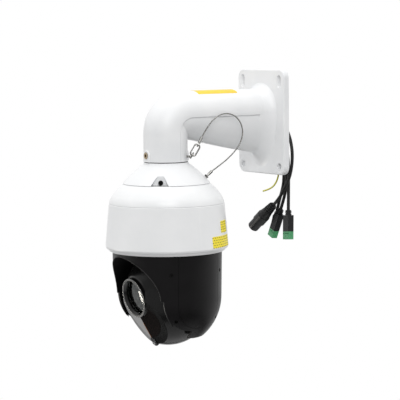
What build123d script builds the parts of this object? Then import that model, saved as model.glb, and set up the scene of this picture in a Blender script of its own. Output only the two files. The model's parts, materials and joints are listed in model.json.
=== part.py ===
from build123d import *
from math import cos, pi, radians, sin, sqrt, tan
import os

# A pan-tilt-zoom dome camera hanging from an L-shaped wall arm.
# Origin: the middle of the wall plate's rear face. +Y goes into the wall, +Z is up, the arm reaches along -Y.

os.makedirs("parts", exist_ok=True)


# ---------------------------------------------------------------- driving dimensions (mm)

REACH = 162.0          # wall to dome axis
RING_Z = -165.0        # height of the dome's lower rim

PLATE_W, PLATE_H, PLATE_T = 110.0, 143.5, 8.0
PLATE_CORNER = 12.0
HOLE_X = 43.0
SLOT_Z, SLOT_LENGTH, SLOT_WIDTH = 55.0, 18.0, 9.0
HOLE_Z, HOLE_R = -60.0, 4.75

ARM_R = 30.0           # outer half of the arm's section
ARM_Z = 15.0           # height of the horizontal run's axis
BEND_R = 25.0
PARTING = 4.0          # the parting line lies this far inside the axis
INNER_R = 28.8         # the half inside the bend stands back from the parting line
DUCT_R = 23.0
GROOVE_W, GROOVE_X = 1.5, 27.7         # groove beside the parting line: width, half distance between floors
COLLAR_R = 26.3
COLLAR_DEPTH = 28.0
NECK_H = 117.5         # neck's lower edge above the rim plane

CAP_H, SEAM_H, SKIRT_H = 116.3, 88.0, 62.0
CAP_MIDDLE = (45.7, 102.0)            # the neck cap's outer curve passes here: radius, height
SEAM_R, SKIRT_TOP_R, SKIRT_R = 58.6, 77.0, 82.25
WALL = 2.8

BODY_TOP_R, BODY_R = 73.3, 72.0      # turning body: at its top, and its lower sphere
BODY_CENTRE_H = -61.5
BODY_WALL = 2.6
ARCH_R = 56.0                        # front opening

TILT_H = -69.5                       # tilt axis below the rim plane
TILT_DOWN = 12.0                     # the optical axis points this far below level at rest
BALL_R, BALL_HALF_W = 59.5, 52.0
BALL_WALL = 2.6
LENS_H, LENS_FRONT = 18.5, 51.0      # lens axis above the head's middle, and its front plane

PAN_PULLEY_R, PAN_MOTOR_PULLEY_R = 52.0, 6.5
PAN_MOTOR_Y = 62.0
TILT_PULLEY_R, TILT_MOTOR_PULLEY_R = 16.0, 4.0
TILT_MOTOR_H = -22.0
BELT_GAP, BELT_T = 0.3, 1.2

ROPE_D = 1.8
PIGTAIL_D, WIRE_D, TRUNK_D = 4.4, 2.2, 9.0


# inner half of the arm: y, depth under the parting line
WEB_SECTIONS = [(-162.0, 26.0), (-104.0, 36.5), (-50.0, 48.0), (-29.0, 52.0), (-2.0, 58.0)]
# flare into the wall plate: y, growth of the radius, depth under the arm's axis
FLARE_SECTIONS = [(-30.0, -0.6, 55.0), (-20.0, 0.6, 58.5), (-13.0, 3.0, 64.0), (-7.5, 9.0, 71.0)]
PAD_AZIMUTHS = (0.0, 180.0)
PAD_H = NECK_H + 8.5

MOUTH_Z, MOUTH_R, MOUTH_DEPTH = 4.0, 30.0, 10.0
PAD_R, PAD_RISE = 6.8, 1.4
SET_SCREW_R, SET_SCREW_HEAD_R = 3.2, 4.4
EYE_AZIMUTH, EYE_H, EYE_SHANK_R, EYE_FOOT_R = 130.0, NECK_H + 6.5, 1.6, 26.8

LABEL_Y, LABEL_W, LABEL_L, LABEL_T = -88.0, 31.0, 63.0, 0.3

CABLE_HOLE_R = 16.0
CAP_SCREW_AZIMUTHS = (49.0, 169.0, 289.0)
CAP_SCREW_R, CAP_SCREW_H = 1.6, SEAM_H + 4.2
RECESS_R, RECESS_HALF_W, RECESS_TALL = 46.8, 12.5, 15.0
ANCHOR_AZIMUTH, ANCHOR_H, ANCHOR_R, ANCHOR_FOOT_R, ANCHOR_COLLAR_S = 146.0, 93.0, 1.4, 49.5, 4.5
LIP_R, LEDGE_R = 76.5, 77.0
SKIRT_LABELS = ((127.5, 32.5, 20.0, 15.5), (121.5, 13.5, 46.0, 15.0))   # azimuth, middle height, width, tall

CHASSIS_H, CHASSIS_T = 14.0, 3.0
STATOR_R = 11.0
BEARING_H, BEARING_INNER_R, BEARING_MID_R, BEARING_OUTER_R = 5.0, 22.0, 30.0, 37.0
POST_R, POST_RADIUS, TALL_POST_RADIUS = 3.0, 56.0, 34.0
MAIN_BOARD_H, MAIN_BOARD_R, POWER_BOARD_H, BOARD_T, BOARD_HOLE_R = 45.0, 62.0, 62.0, 1.6, 8.0
MAIN_BOARD_CHIPS = ((0, -28, 18, 18, 2.5), (30, 0, 12, 12, 1.8), (-34, -6, 20, 9, 8.0), (0, 40, 26, 10, 9.0))

YOKE_TOP_H, YOKE_T = 1.5, 3.0
ARM_PLATE_X, ARM_PLATE_T, ARM_HALF_W = 57.0, 4.0, 20.0
BEARING_SEAT_R, SHAFT_R = 9.0, 5.0
BELT_H, BELT_W = 4.0, 6.0
TILT_MOTOR_R, TILT_BELT_W = 11.0, 2.5

BODY_TOP_H = 3.5
ARCH_DEPTH = 28.0                     # the arch's wall ends this far in front of the axis
EAR_EDGE = ((-42.5, -61.5), (-29.0, -95.0), (9.0, -115.5))           # the ear's lower edge in the side view
EAR_SPLIT_GAP = 0.1
PANEL_Y, PANEL_H, PANEL_HALF_W, PANEL_T, PANEL_GAP = 8.0, -67.0, 33.5, 1.4, 0.35
EAR_SCREWS = ((-34.3, -26.6), (-25.9, -88.6), (47.4, -26.4), (43.7, -90.2))
EAR_SCREW_R, EAR_SCREW_DEPTH, BOSS_R, BOSS_L = 2.3, 3.0, 3.6, 5.5
EAR_SHANK_R, EAR_SCREW_L = 1.2, 2.4

# front facets: angle below the optical axis, distance from the head's middle, slope of each side
FACE_DROP, FACE_OUT, FACET_TILT = 18.5, 46.8, 9.0
WINDOW_T, WINDOW_PROUD, WINDOW_TIP, WINDOW_TOP = 2.2, 0.3, -28.4, 24.0
LENS_OPEN_R, LENS_RING_R, GLASS_S, GLASS_BULGE = 24.0, 26.8, 46.0, 2.5
BROW_BACK, BROW_FRONT, BROW_BACK_R = 30.0, 45.5, 42.0
LUG_Y, LUG_PROUD = -35.0, 0.2
HEAD_SPLIT_S = 6.0
BARREL_R, BARREL_BORE_R, BARREL_FRONT, BARREL_BACK = 21.0, 18.0, 39.0, -10.0
SENSOR_S, FILTER_S, ZOOM_S, FOCUS_S = -17.0, -13.4, 19.0, -2.0
LED_BOARD_DEPTH, LED_R = 9.5, 3.4
LED_PLACES = ((-18, -6), (-8, -14), (8, -14), (18, -6))

HOOK_L, HOOK_W, HOOK_WIRE_R, GATE_L, GATE_GAP, GATE_PIVOT_R = 19.0, 9.6, 1.1, 8.0, 0.4, 1.1
EYE_RING_R, FERRULE_R, FERRULE_EYE_R, FERRULE_L, EYE_T = 3.8, 1.9, 1.9, 6.5, 1.8

BOOT_START_Y, BOOT_END_Y, BOOT_R = -46.0, -18.0, 14.0
COUPLER_R, COUPLER_L = 9.0, 54.0
STRAIN_R, STRAIN_L, CONE_L, GRIP_L = (4.6, 6.0), 13.0, 12.0, 14.0    # boot, cone and grip of the coupler
JACK_SOCKET = (8.2, 11.8, 13.0)
BOOT_W, BOOT_T, BOOT_L, RIB_PITCH, RIB_T = 7.0, 6.0, 7.0, 2.2, 1.1
ALARM_BODY, AUDIO_BODY = (12.5, 9.5, 24.0), (14.5, 9.0, 22.0)        # width, thickness, length
DC_STRAIN_R, DC_R, DC_BORE_R, DC_L = 3.2, 4.6, 1.1, 20.0
PLUG_L, SCREW_WELL_R, SCREW_WELL_DEPTH = 11.0, 1.1, 5.0


# ---------------------------------------------------------------- frames

def dome(h=0.0):
    """Horizontal plane h above the dome's rim, centred on the dome axis."""
    return Plane(origin=(0, -REACH, RING_Z + h))


def around_dome(azimuth, h, radius):
    """Plane facing outwards at an azimuth measured from the front (-Y) towards +X; its y axis is up."""
    a = radians(azimuth)
    out = (sin(a), -cos(a), 0)
    return Plane(
        origin=(radius * out[0], -REACH + radius * out[1], RING_Z + h),
        x_dir=(cos(a), sin(a), 0),
        z_dir=out,
    )


def head(s=0.0):
    """Plane across the optical axis, s in front of the tilt axis; its y axis is the head's own up."""
    a = radians(TILT_DOWN)
    forward = Vector(0, -cos(a), -sin(a))
    return Plane(
        origin=Vector(0, -REACH, RING_Z + TILT_H) + forward * s,
        x_dir=(1, 0, 0),
        z_dir=forward,
    )


SIDE = Plane.YZ                                                      # x is +Y, y is +Z, faces +X
DOME_SECTION = Plane(origin=(0, -REACH, RING_Z), x_dir=(1, 0, 0), z_dir=(0, -1, 0))
DOME_SIDE = Plane(origin=(0, -REACH, RING_Z), x_dir=(0, 1, 0), z_dir=(1, 0, 0))
DOME_AXIS = Axis((0, -REACH, 0), (0, 0, 1))
TILT_SIDE = Plane(origin=(0, -REACH, RING_Z + TILT_H), x_dir=(0, 1, 0), z_dir=(1, 0, 0))
HEAD_FORWARD = head().z_dir
HEAD_UP = head().y_dir
LENS_AXIS = Axis(head().from_local_coords((0, LENS_H, 0)), HEAD_FORWARD)
HEAD_SECTION = Plane(origin=head().origin, x_dir=HEAD_UP, z_dir=(1, 0, 0))       # x is head up, y is forward

# safety rope: from the snap hook under the arm, round in a loose loop and down to its anchor on the neck cap
ROPE_ROUTE = [
    (32.0, -126.0, -16.0),
    (34.0, -119.5, -4.0),
    (36.0, -110.0, 7.5),
    (37.0, -97.0, 15.0),
    (37.5, -80.5, 14.0),
    (37.5, -67.5, 4.0),
    (37.0, -62.5, -12.0),
    (36.5, -68.0, -28.0),
    (35.0, -80.0, -41.0),
    (33.0, -95.0, -52.5),
    (31.5, -110.0, -61.5),
]
HOOK_U = Vector(0.18, 0.49, 0.853).normalized()                      # up along the hanging hook
HOOK_ACROSS = Vector(0.84, -0.53, 0.13)
HOOK_N = (HOOK_ACROSS - HOOK_U * HOOK_ACROSS.dot(HOOK_U)).normalized()
HOOK = Plane(origin=(29.5, -135.0, -32.5), x_dir=HOOK_U, z_dir=HOOK_N)
HOOK_END = HOOK.origin + HOOK_U * (HOOK_L / 2 - HOOK_WIRE_R)
EYE_CENTRE = HOOK.origin - HOOK_U * (HOOK_L / 2 - HOOK_WIRE_R)
EYE_PLANE = Plane(origin=EYE_CENTRE, x_dir=HOOK_U, z_dir=HOOK_U.cross(HOOK_N))
EYE_FACE = around_dome(EYE_AZIMUTH, EYE_H, EYE_FOOT_R)
ANCHOR_FOOT = around_dome(ANCHOR_AZIMUTH, ANCHOR_H, ANCHOR_FOOT_R).origin
ANCHOR = Plane(origin=ANCHOR_FOOT, z_dir=Vector(*ROPE_ROUTE[-1]) - ANCHOR_FOOT)
ANCHOR_LENGTH = (Vector(*ROPE_ROUTE[-1]) - ANCHOR_FOOT).length


def finish(piece, name):
    piece.part.label = name
    export_step(piece.part, f"parts/{name}.step")


def tube_route(name, points, diameter):
    """Arc radii of a free cord's tube, as large as its runs allow, printed for a look at its bends."""
    v = [Vector(*p) for p in points]
    radii = []
    for a, b, c in zip(v, v[1:], v[2:]):
        turn = (b - a).get_angle(c - b)
        radii.append(0.45 * min((b - a).length, (c - b).length) / tan(radians(turn / 2)))
    print(name, "radii in diameters:", [round(r / diameter, 1) for r in radii])
    return radii


def cord(name, points, diameter):
    """A round tube along straight runs joined by tangent arcs."""
    radii = tube_route(name, points, diameter)
    first = Vector(*points[1]) - Vector(*points[0])
    with BuildPart() as tube:
        with BuildLine() as route:
            FilletPolyline(*points, radius=radii)
        with BuildSketch(Plane(origin=points[0], z_dir=first)):
            Circle(diameter / 2)
        sweep()
    length = sum(e.length for e in route.edges())
    ideal = length * pi * diameter**2 / 4
    print(name, "length", round(length, 1), "volume over ideal", round(tube.part.volume / ideal, 4))
    finish(tube, name)
    return tube


def belt_loop(plane, big_r, small_r, distance, width):
    """A flat belt round two pulleys, the small one at +y of the plane; runs clear of both by BELT_GAP."""
    with BuildPart() as loop:
        with BuildSketch(plane):
            with BuildSketch(mode=Mode.PRIVATE) as inner:
                Circle(big_r + BELT_GAP)
                with Locations((0, distance)):
                    Circle(small_r + BELT_GAP)
                make_hull()
            offset(inner.sketch, BELT_T)
            add(inner.sketch, mode=Mode.SUBTRACT)
        extrude(amount=width)
    return loop


# ---------------------------------------------------------------- bracket

with BuildPart() as inner_half:
    with BuildSketch(dome(NECK_H)):
        Circle(INNER_R)
    extrude(amount=ARM_Z - RING_Z - NECK_H)
    for y, depth in WEB_SECTIONS:
        with BuildSketch(Plane.XZ.offset(-y)):
            with Locations((0, ARM_Z - PARTING)):
                Ellipse(INNER_R, depth)
            with Locations((0, ARM_Z - PARTING)):
                Rectangle(200, 200, align=(Align.CENTER, Align.MIN), mode=Mode.SUBTRACT)
    loft()
    with BuildSketch(SIDE):
        with BuildLine():
            corner = (-REACH + PARTING - 0.5, ARM_Z - PARTING + 0.5)
            FilletPolyline((corner[0], -90), corner, (0, corner[1]), radius=BEND_R - PARTING)
            Polyline((0, corner[1]), (0, -90), (corner[0], -90))
        make_face()
    extrude(amount=60, both=True, mode=Mode.INTERSECT)

with BuildPart() as parting_groove:
    with BuildSketch(SIDE):
        with BuildLine():
            foot = RING_Z + NECK_H - 1
            for inside in (PARTING, PARTING + GROOVE_W):
                bend = (-REACH + inside, ARM_Z - inside)
                FilletPolyline((bend[0], foot), bend, (0, bend[1]), radius=BEND_R - inside)
            Line((0, ARM_Z - PARTING), (0, ARM_Z - PARTING - GROOVE_W))
            Line((-REACH + PARTING, foot), (-REACH + PARTING + GROOVE_W, foot))
        make_face()
    extrude(amount=40, both=True)
    Box(2 * GROOVE_X, 400, 400, mode=Mode.SUBTRACT)

with BuildPart() as bracket_arm:
    with BuildLine(SIDE) as spine:
        FilletPolyline((-REACH, RING_Z + NECK_H), (-REACH, ARM_Z), (-PLATE_T / 2, ARM_Z), radius=BEND_R)
    with BuildSketch(dome(NECK_H)):
        Circle(ARM_R)
        with Locations((0, PARTING)):
            Rectangle(80, 80, align=(Align.CENTER, Align.MIN), mode=Mode.SUBTRACT)
    sweep()
    add(inner_half.part)
    add(parting_groove.part, mode=Mode.SUBTRACT)
    with BuildSketch(Plane.XZ):
        RectangleRounded(PLATE_W, PLATE_H, PLATE_CORNER)
    extrude(amount=PLATE_T)
    front = bracket_arm.faces().filter_by(Axis.Y).group_by(Axis.Y)[-2]
    fillet(front.edges().filter_by(lambda e: abs(e.center().X) > 45 or abs(e.center().Z) > 68), 2.5)
    # smooth flare where the arm meets the plate, longest underneath
    for y, grow, depth in FLARE_SECTIONS:
        with BuildSketch(Plane.XZ.offset(-y)):
            with Locations((0, ARM_Z)):
                Circle(ARM_R + grow)
                Rectangle(200, 200, align=(Align.CENTER, Align.MAX), mode=Mode.SUBTRACT)
            with BuildSketch(mode=Mode.PRIVATE) as below:
                with Locations((0, ARM_Z)):
                    Ellipse(ARM_R + grow, depth + grow)
                    Rectangle(200, 200, align=(Align.CENTER, Align.MIN), mode=Mode.SUBTRACT)
            add(below.sketch)
    loft()
    # duct for the cable: along the arm, with a wider mouth in the wall plate
    with BuildLine(SIDE) as duct_line:
        FilletPolyline((-REACH, RING_Z + NECK_H), (-REACH, ARM_Z), (0, ARM_Z), radius=BEND_R)
    with BuildSketch(dome(NECK_H)):
        Circle(DUCT_R)
    sweep(path=duct_line.line, mode=Mode.SUBTRACT)
    with BuildSketch(dome(NECK_H)):
        Circle(COLLAR_R + 0.2)
    extrude(amount=COLLAR_DEPTH + 1, mode=Mode.SUBTRACT)
    with BuildSketch(Plane.XZ):
        with Locations((0, MOUTH_Z)):
            Circle(MOUTH_R)
    extrude(amount=MOUTH_DEPTH, mode=Mode.SUBTRACT)
    # fixing holes: two upright slots above, two round holes below
    with BuildSketch(Plane.XZ):
        with Locations((-HOLE_X, SLOT_Z), (HOLE_X, SLOT_Z)):
            SlotOverall(SLOT_LENGTH, SLOT_WIDTH, rotation=90)
        with Locations((-HOLE_X, HOLE_Z), (HOLE_X, HOLE_Z)):
            Circle(HOLE_R)
    extrude(amount=PLATE_T + 10, mode=Mode.SUBTRACT)
    # raised pads with threaded holes for the neck's set screws
    for azimuth in PAD_AZIMUTHS:
        with BuildSketch(around_dome(azimuth, PAD_H, COLLAR_R + 2)):
            Circle(PAD_R)
            Rectangle(2 * PAD_R, PAD_H - NECK_H, align=(Align.CENTER, Align.MAX))
        extrude(amount=ARM_R + PAD_RISE - COLLAR_R - 2)
        with BuildSketch(around_dome(azimuth, PAD_H, COLLAR_R - 2)):
            Circle(SET_SCREW_R)
        extrude(amount=20, mode=Mode.SUBTRACT)
        with BuildSketch(around_dome(azimuth, PAD_H, ARM_R + PAD_RISE)):
            Circle(SET_SCREW_HEAD_R + 0.3)
        extrude(amount=-2, mode=Mode.SUBTRACT)
    with BuildSketch(EYE_FACE):
        Circle(EYE_SHANK_R)
    extrude(amount=10, mode=Mode.SUBTRACT)
finish(bracket_arm, "bracket_arm")

with BuildPart() as neck_set_screws:
    for azimuth in PAD_AZIMUTHS:
        with BuildSketch(around_dome(azimuth, PAD_H, COLLAR_R + 0.2)):
            Circle(SET_SCREW_R)
        extrude(amount=ARM_R + PAD_RISE - 2 - COLLAR_R)
        with BuildSketch(around_dome(azimuth, PAD_H, ARM_R + PAD_RISE - 2)):
            Circle(SET_SCREW_HEAD_R)
            RegularPolygon(2.3, 6, mode=Mode.SUBTRACT)
        extrude(amount=2.6)
finish(neck_set_screws, "neck_set_screws")

with BuildPart() as arm_label:
    with BuildSketch(Plane.XY.offset(ARM_Z)):
        with Locations((0, LABEL_Y)):
            RectangleRounded(LABEL_W, LABEL_L, 1.5)
    extrude(amount=40)
    with BuildSketch(Plane.XZ):
        with Locations((0, ARM_Z)):
            Circle(ARM_R + LABEL_T)
            Circle(ARM_R, mode=Mode.SUBTRACT)
    extrude(amount=REACH, mode=Mode.INTERSECT)
finish(arm_label, "arm_label")


# ---------------------------------------------------------------- dome base

with BuildPart() as neck_gasket:
    with BuildSketch(dome(CAP_H)):
        Circle(ARM_R - 1.2)
        Circle(COLLAR_R, mode=Mode.SUBTRACT)
    extrude(amount=NECK_H - CAP_H)
finish(neck_gasket, "neck_gasket")

CAP_FOOT = (SEAM_R - 0.3, SEAM_H + 0.8)
CAP_TOP = (ARM_R + 0.6, CAP_H - 2.2)


def cap_profile():
    """Outer curve of the neck cap in the dome's section, from its foot to its top."""
    ThreePointArc(CAP_FOOT, CAP_MIDDLE, CAP_TOP)


with BuildPart() as neck_cap:
    with BuildSketch(DOME_SECTION):
        with BuildLine():
            Line((SEAM_R - 0.6, SEAM_H + 0.4), CAP_FOOT)
            cap_profile()
            Polyline(
                CAP_TOP,
                (ARM_R - 0.4, CAP_H),
                (COLLAR_R, CAP_H),
                (COLLAR_R, CAP_H + COLLAR_DEPTH),
                (CABLE_HOLE_R, CAP_H + COLLAR_DEPTH),
                (CABLE_HOLE_R, CAP_H - WALL),
                (ARM_R - 2, CAP_H - WALL - 1),
                (SEAM_R - WALL - 1.5, SEAM_H + 0.4),
                (SEAM_R - 0.6, SEAM_H + 0.4),
            )
        make_face()
    revolve(axis=DOME_AXIS)
    # arched recesses, each with an upright wall that the screw goes into
    for azimuth in CAP_SCREW_AZIMUTHS:
        with BuildSketch(around_dome(azimuth, SEAM_H + 0.4, RECESS_R - 4)):
            with BuildLine():
                Line((-RECESS_HALF_W - 2, 0), (RECESS_HALF_W + 2, 0))
                ThreePointArc((RECESS_HALF_W + 2, 0), (0, RECESS_TALL + 2), (-RECESS_HALF_W - 2, 0))
            make_face()
        extrude(amount=6)
    with BuildSketch(DOME_SECTION):
        with BuildLine():
            Line((CAP_FOOT[0], SEAM_H), CAP_FOOT)
            cap_profile()
            Polyline(CAP_TOP, (90, CAP_TOP[1]), (90, SEAM_H), (CAP_FOOT[0], SEAM_H))
        make_face()
    revolve(axis=DOME_AXIS, mode=Mode.SUBTRACT)
    for azimuth in CAP_SCREW_AZIMUTHS:
        with BuildSketch(around_dome(azimuth, SEAM_H, RECESS_R)):
            with BuildLine():
                Polyline((-RECESS_HALF_W, 0), (-RECESS_HALF_W, -1), (RECESS_HALF_W, -1), (RECESS_HALF_W, 0))
                Spline(
                    (RECESS_HALF_W, 0),
                    (0, RECESS_TALL),
                    (-RECESS_HALF_W, 0),
                    tangents=((-0.6, 1), (-0.6, -1)),
                )
            make_face()
        extrude(amount=20, mode=Mode.SUBTRACT)
        with BuildSketch(around_dome(azimuth, CAP_SCREW_H, RECESS_R)):
            Circle(CAP_SCREW_R)
        extrude(amount=-9, mode=Mode.SUBTRACT)
    with BuildSketch(ANCHOR):
        Circle(ANCHOR_R)
    extrude(amount=ANCHOR_LENGTH, mode=Mode.SUBTRACT)
finish(neck_cap, "neck_cap")

with BuildPart() as cap_screws:
    for azimuth in CAP_SCREW_AZIMUTHS:
        with BuildSketch(around_dome(azimuth, CAP_SCREW_H, RECESS_R)):
            Circle(CAP_SCREW_R)
        extrude(amount=-8)
        with BuildSketch(around_dome(azimuth, CAP_SCREW_H, RECESS_R)):
            Circle(CAP_SCREW_R * 2)
        extrude(amount=1.8)
        with BuildSketch(around_dome(azimuth, CAP_SCREW_H, RECESS_R + 0.6)):
            Rectangle(CAP_SCREW_R * 2.6, 0.9)
            Rectangle(0.9, CAP_SCREW_R * 2.6)
        extrude(amount=2, mode=Mode.SUBTRACT)
finish(cap_screws, "cap_screws")

with BuildPart() as top_cover:
    with BuildSketch(DOME_SECTION):
        with BuildLine() as cover_line:
            Line((SEAM_R - 9, SEAM_H), (SEAM_R - 0.5, SEAM_H))
            Line((SEAM_R - 0.5, SEAM_H), (SEAM_R, SEAM_H - 0.5))
            ThreePointArc((SEAM_R, SEAM_H - 0.5), (65.2, 81.7), (71.6, 74.0))
            ThreePointArc((71.6, 74.0), (75.0, 68.4), (SKIRT_TOP_R - 0.2, SKIRT_H + 0.3))
            Line((SKIRT_TOP_R - 0.2, SKIRT_H + 0.3), (SKIRT_TOP_R - WALL - 0.2, SKIRT_H + 0.3))
            ThreePointArc((SKIRT_TOP_R - WALL - 0.2, SKIRT_H + 0.3), (72.4, 67.4), (69.3, 72.4))
            ThreePointArc((69.3, 72.4), (63.2, 79.7), (SEAM_R - 2.2, SEAM_H - WALL))
            Line((SEAM_R - 2.2, SEAM_H - WALL), (SEAM_R - 9, SEAM_H - WALL))
            Line((SEAM_R - 9, SEAM_H - WALL), (SEAM_R - 9, SEAM_H))
        make_face()
    revolve(axis=DOME_AXIS)
    # stepped lip that plugs into the skirt
    with BuildSketch(dome(SKIRT_H - 4)):
        Circle(SKIRT_TOP_R - WALL - 0.4)
        Circle(SKIRT_TOP_R - WALL - 2.4, mode=Mode.SUBTRACT)
    extrude(amount=5.5)
finish(top_cover, "top_cover")

with BuildPart() as skirt_shell:
    with BuildSketch(DOME_SECTION):
        with BuildLine():
            Line((SKIRT_TOP_R - WALL, SKIRT_H), (SKIRT_TOP_R - 0.3, SKIRT_H))
            Line((SKIRT_TOP_R - 0.3, SKIRT_H), (SKIRT_TOP_R + 0.3, SKIRT_H - 0.8))
            Line((SKIRT_TOP_R + 0.3, SKIRT_H - 0.8), (SKIRT_R, 5.5))
            ThreePointArc((SKIRT_R, 5.5), (SKIRT_R - 0.9, 3.4), (SKIRT_R - 2.6, 1.9))
            Polyline(
                (SKIRT_R - 2.6, 1.9),
                (LIP_R, -1.5),
                (LIP_R, 3),
                (LEDGE_R, 3),
                (LEDGE_R, CHASSIS_H),
                (SKIRT_R - WALL - 0.6, CHASSIS_H),
                (SKIRT_TOP_R - WALL, SKIRT_H),
            )
        make_face()
    revolve(axis=DOME_AXIS)
finish(skirt_shell, "skirt_shell")

with BuildPart() as skirt_labels:
    for azimuth, h, w, tall in SKIRT_LABELS:
        with BuildSketch(around_dome(azimuth, h, SKIRT_R - 10)):
            RectangleRounded(w, tall, 1)
        extrude(amount=20)
    with BuildSketch(DOME_SECTION):
        with BuildLine():
            Polyline(
                (SKIRT_TOP_R + 0.3, SKIRT_H - 0.8),
                (SKIRT_TOP_R + 0.3 + LABEL_T, SKIRT_H - 0.8),
                (SKIRT_R + LABEL_T, 5.5),
                (SKIRT_R, 5.5),
                close=True,
            )
        make_face()
    revolve(axis=DOME_AXIS, mode=Mode.INTERSECT)
finish(skirt_labels, "skirt_labels")

with BuildPart() as chassis_plate:
    with BuildSketch(dome(CHASSIS_H)):
        Circle(SKIRT_R - WALL - 1.0)
        Circle(STATOR_R + 0.2, mode=Mode.SUBTRACT)
        with Locations((0, PAN_MOTOR_Y)):
            Circle(3.2, mode=Mode.SUBTRACT)
    extrude(amount=CHASSIS_T)
    for radius, top in ((POST_RADIUS, MAIN_BOARD_H), (TALL_POST_RADIUS, POWER_BOARD_H)):
        with BuildSketch(dome(CHASSIS_H + CHASSIS_T)):
            with PolarLocations(radius, 4, start_angle=45):
                Circle(POST_R)
        extrude(amount=top - CHASSIS_H - CHASSIS_T)
finish(chassis_plate, "chassis_plate")

with BuildPart() as main_board:
    with BuildSketch(dome(MAIN_BOARD_H)):
        Circle(MAIN_BOARD_R)
        Circle(BOARD_HOLE_R, mode=Mode.SUBTRACT)
        with PolarLocations(TALL_POST_RADIUS, 4, start_angle=45):
            Circle(POST_R + 0.5, mode=Mode.SUBTRACT)
    extrude(amount=BOARD_T)
    for x, y, w, l, tall in MAIN_BOARD_CHIPS:
        with BuildSketch(dome(MAIN_BOARD_H + BOARD_T)):
            with Locations((x, y)):
                Rectangle(w, l)
        extrude(amount=tall)
finish(main_board, "main_board")

with BuildPart() as power_board:
    with BuildSketch(dome(POWER_BOARD_H)):
        RectangleRounded(84, 64, 3)
        Circle(BOARD_HOLE_R, mode=Mode.SUBTRACT)
    extrude(amount=BOARD_T)
    with BuildSketch(dome(POWER_BOARD_H + BOARD_T)):
        with Locations((-26, 16), (-26, -2)):
            Circle(5)
        with Locations((28, 12)):
            Rectangle(16, 14)
    extrude(amount=9)
finish(power_board, "power_board")

with BuildPart() as slip_ring_stator:
    with BuildSketch(dome(CHASSIS_H)):
        Circle(STATOR_R)
    extrude(amount=26)
    with BuildSketch(dome(CHASSIS_H + CHASSIS_T)):
        Circle(STATOR_R + 5)
    extrude(amount=2)
finish(slip_ring_stator, "slip_ring_stator")

with BuildPart() as pan_bearing_outer:
    with BuildSketch(dome(BEARING_H)):
        Circle(BEARING_OUTER_R)
        Circle(BEARING_MID_R, mode=Mode.SUBTRACT)
    extrude(amount=CHASSIS_H - BEARING_H)
finish(pan_bearing_outer, "pan_bearing_outer")

with BuildPart() as pan_motor:
    with BuildSketch(dome(CHASSIS_H + CHASSIS_T)):
        with Locations((0, PAN_MOTOR_Y)):
            Circle(12.5)
            Circle(2.2, mode=Mode.SUBTRACT)
            with Locations((-14.5, 0), (14.5, 0)):
                Circle(3)
    extrude(amount=1.5)
    with BuildSketch(dome(CHASSIS_H + CHASSIS_T + 1.5)):
        with Locations((0, PAN_MOTOR_Y)):
            Circle(12.5)
            Circle(2.2, mode=Mode.SUBTRACT)
    extrude(amount=19)
    with BuildSketch(dome(CHASSIS_H + CHASSIS_T + 20.5)):
        with Locations((0, PAN_MOTOR_Y)):
            Circle(12.5)
    extrude(amount=1.5)
finish(pan_motor, "pan_motor")


def drive_pulley(plane, radius, width, bore_r, name, shaft_r=0.0, shaft_length=0.0):
    """A toothed belt pulley, with an optional shaft that goes on along the plane's normal."""
    teeth = max(12, round(radius * 2))
    with BuildPart() as pulley:
        with BuildSketch(plane):
            Circle(radius)
            if bore_r:
                Circle(bore_r, mode=Mode.SUBTRACT)
            with PolarLocations(radius, teeth):
                Rectangle(0.8, 0.9, mode=Mode.SUBTRACT)
        extrude(amount=width)
        if shaft_r:
            with BuildSketch(plane):
                Circle(shaft_r)
            extrude(amount=shaft_length)
    finish(pulley, name)
    return pulley


PAN_MOTOR_PLANE = Plane(origin=(0, -REACH + PAN_MOTOR_Y, RING_Z + BELT_H))
pan_shaft_length = CHASSIS_H + CHASSIS_T + 16 - BELT_H
drive_pulley(PAN_MOTOR_PLANE, PAN_MOTOR_PULLEY_R, BELT_W, 0, "pan_motor_pulley", 1.8, pan_shaft_length)

pan_belt = belt_loop(dome(BELT_H), PAN_PULLEY_R, PAN_MOTOR_PULLEY_R, PAN_MOTOR_Y, BELT_W)
finish(pan_belt, "pan_belt")


# ---------------------------------------------------------------- turning body

with BuildPart() as pan_bearing_inner:
    with BuildSketch(dome(BEARING_H - 1)):
        Circle(BEARING_MID_R - 0.3)
        Circle(BEARING_INNER_R, mode=Mode.SUBTRACT)
    extrude(amount=CHASSIS_H - BEARING_H)
finish(pan_bearing_inner, "pan_bearing_inner")

with BuildPart() as slip_ring_rotor:
    with BuildSketch(dome(YOKE_TOP_H)):
        Circle(14)
    extrude(amount=1.5)
    with BuildSketch(dome(YOKE_TOP_H)):
        Circle(9)
    extrude(amount=CHASSIS_H - YOKE_TOP_H - 0.4)
finish(slip_ring_rotor, "slip_ring_rotor")

with BuildPart() as pan_pulley:
    with BuildSketch(dome(YOKE_TOP_H)):
        Circle(PAN_PULLEY_R)
        Circle(PAN_PULLEY_R - 8, mode=Mode.SUBTRACT)
        with PolarLocations(PAN_PULLEY_R, 104):
            Rectangle(0.8, 1.2, mode=Mode.SUBTRACT)
    extrude(amount=BELT_H + BELT_W - YOKE_TOP_H)
finish(pan_pulley, "pan_pulley")

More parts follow.
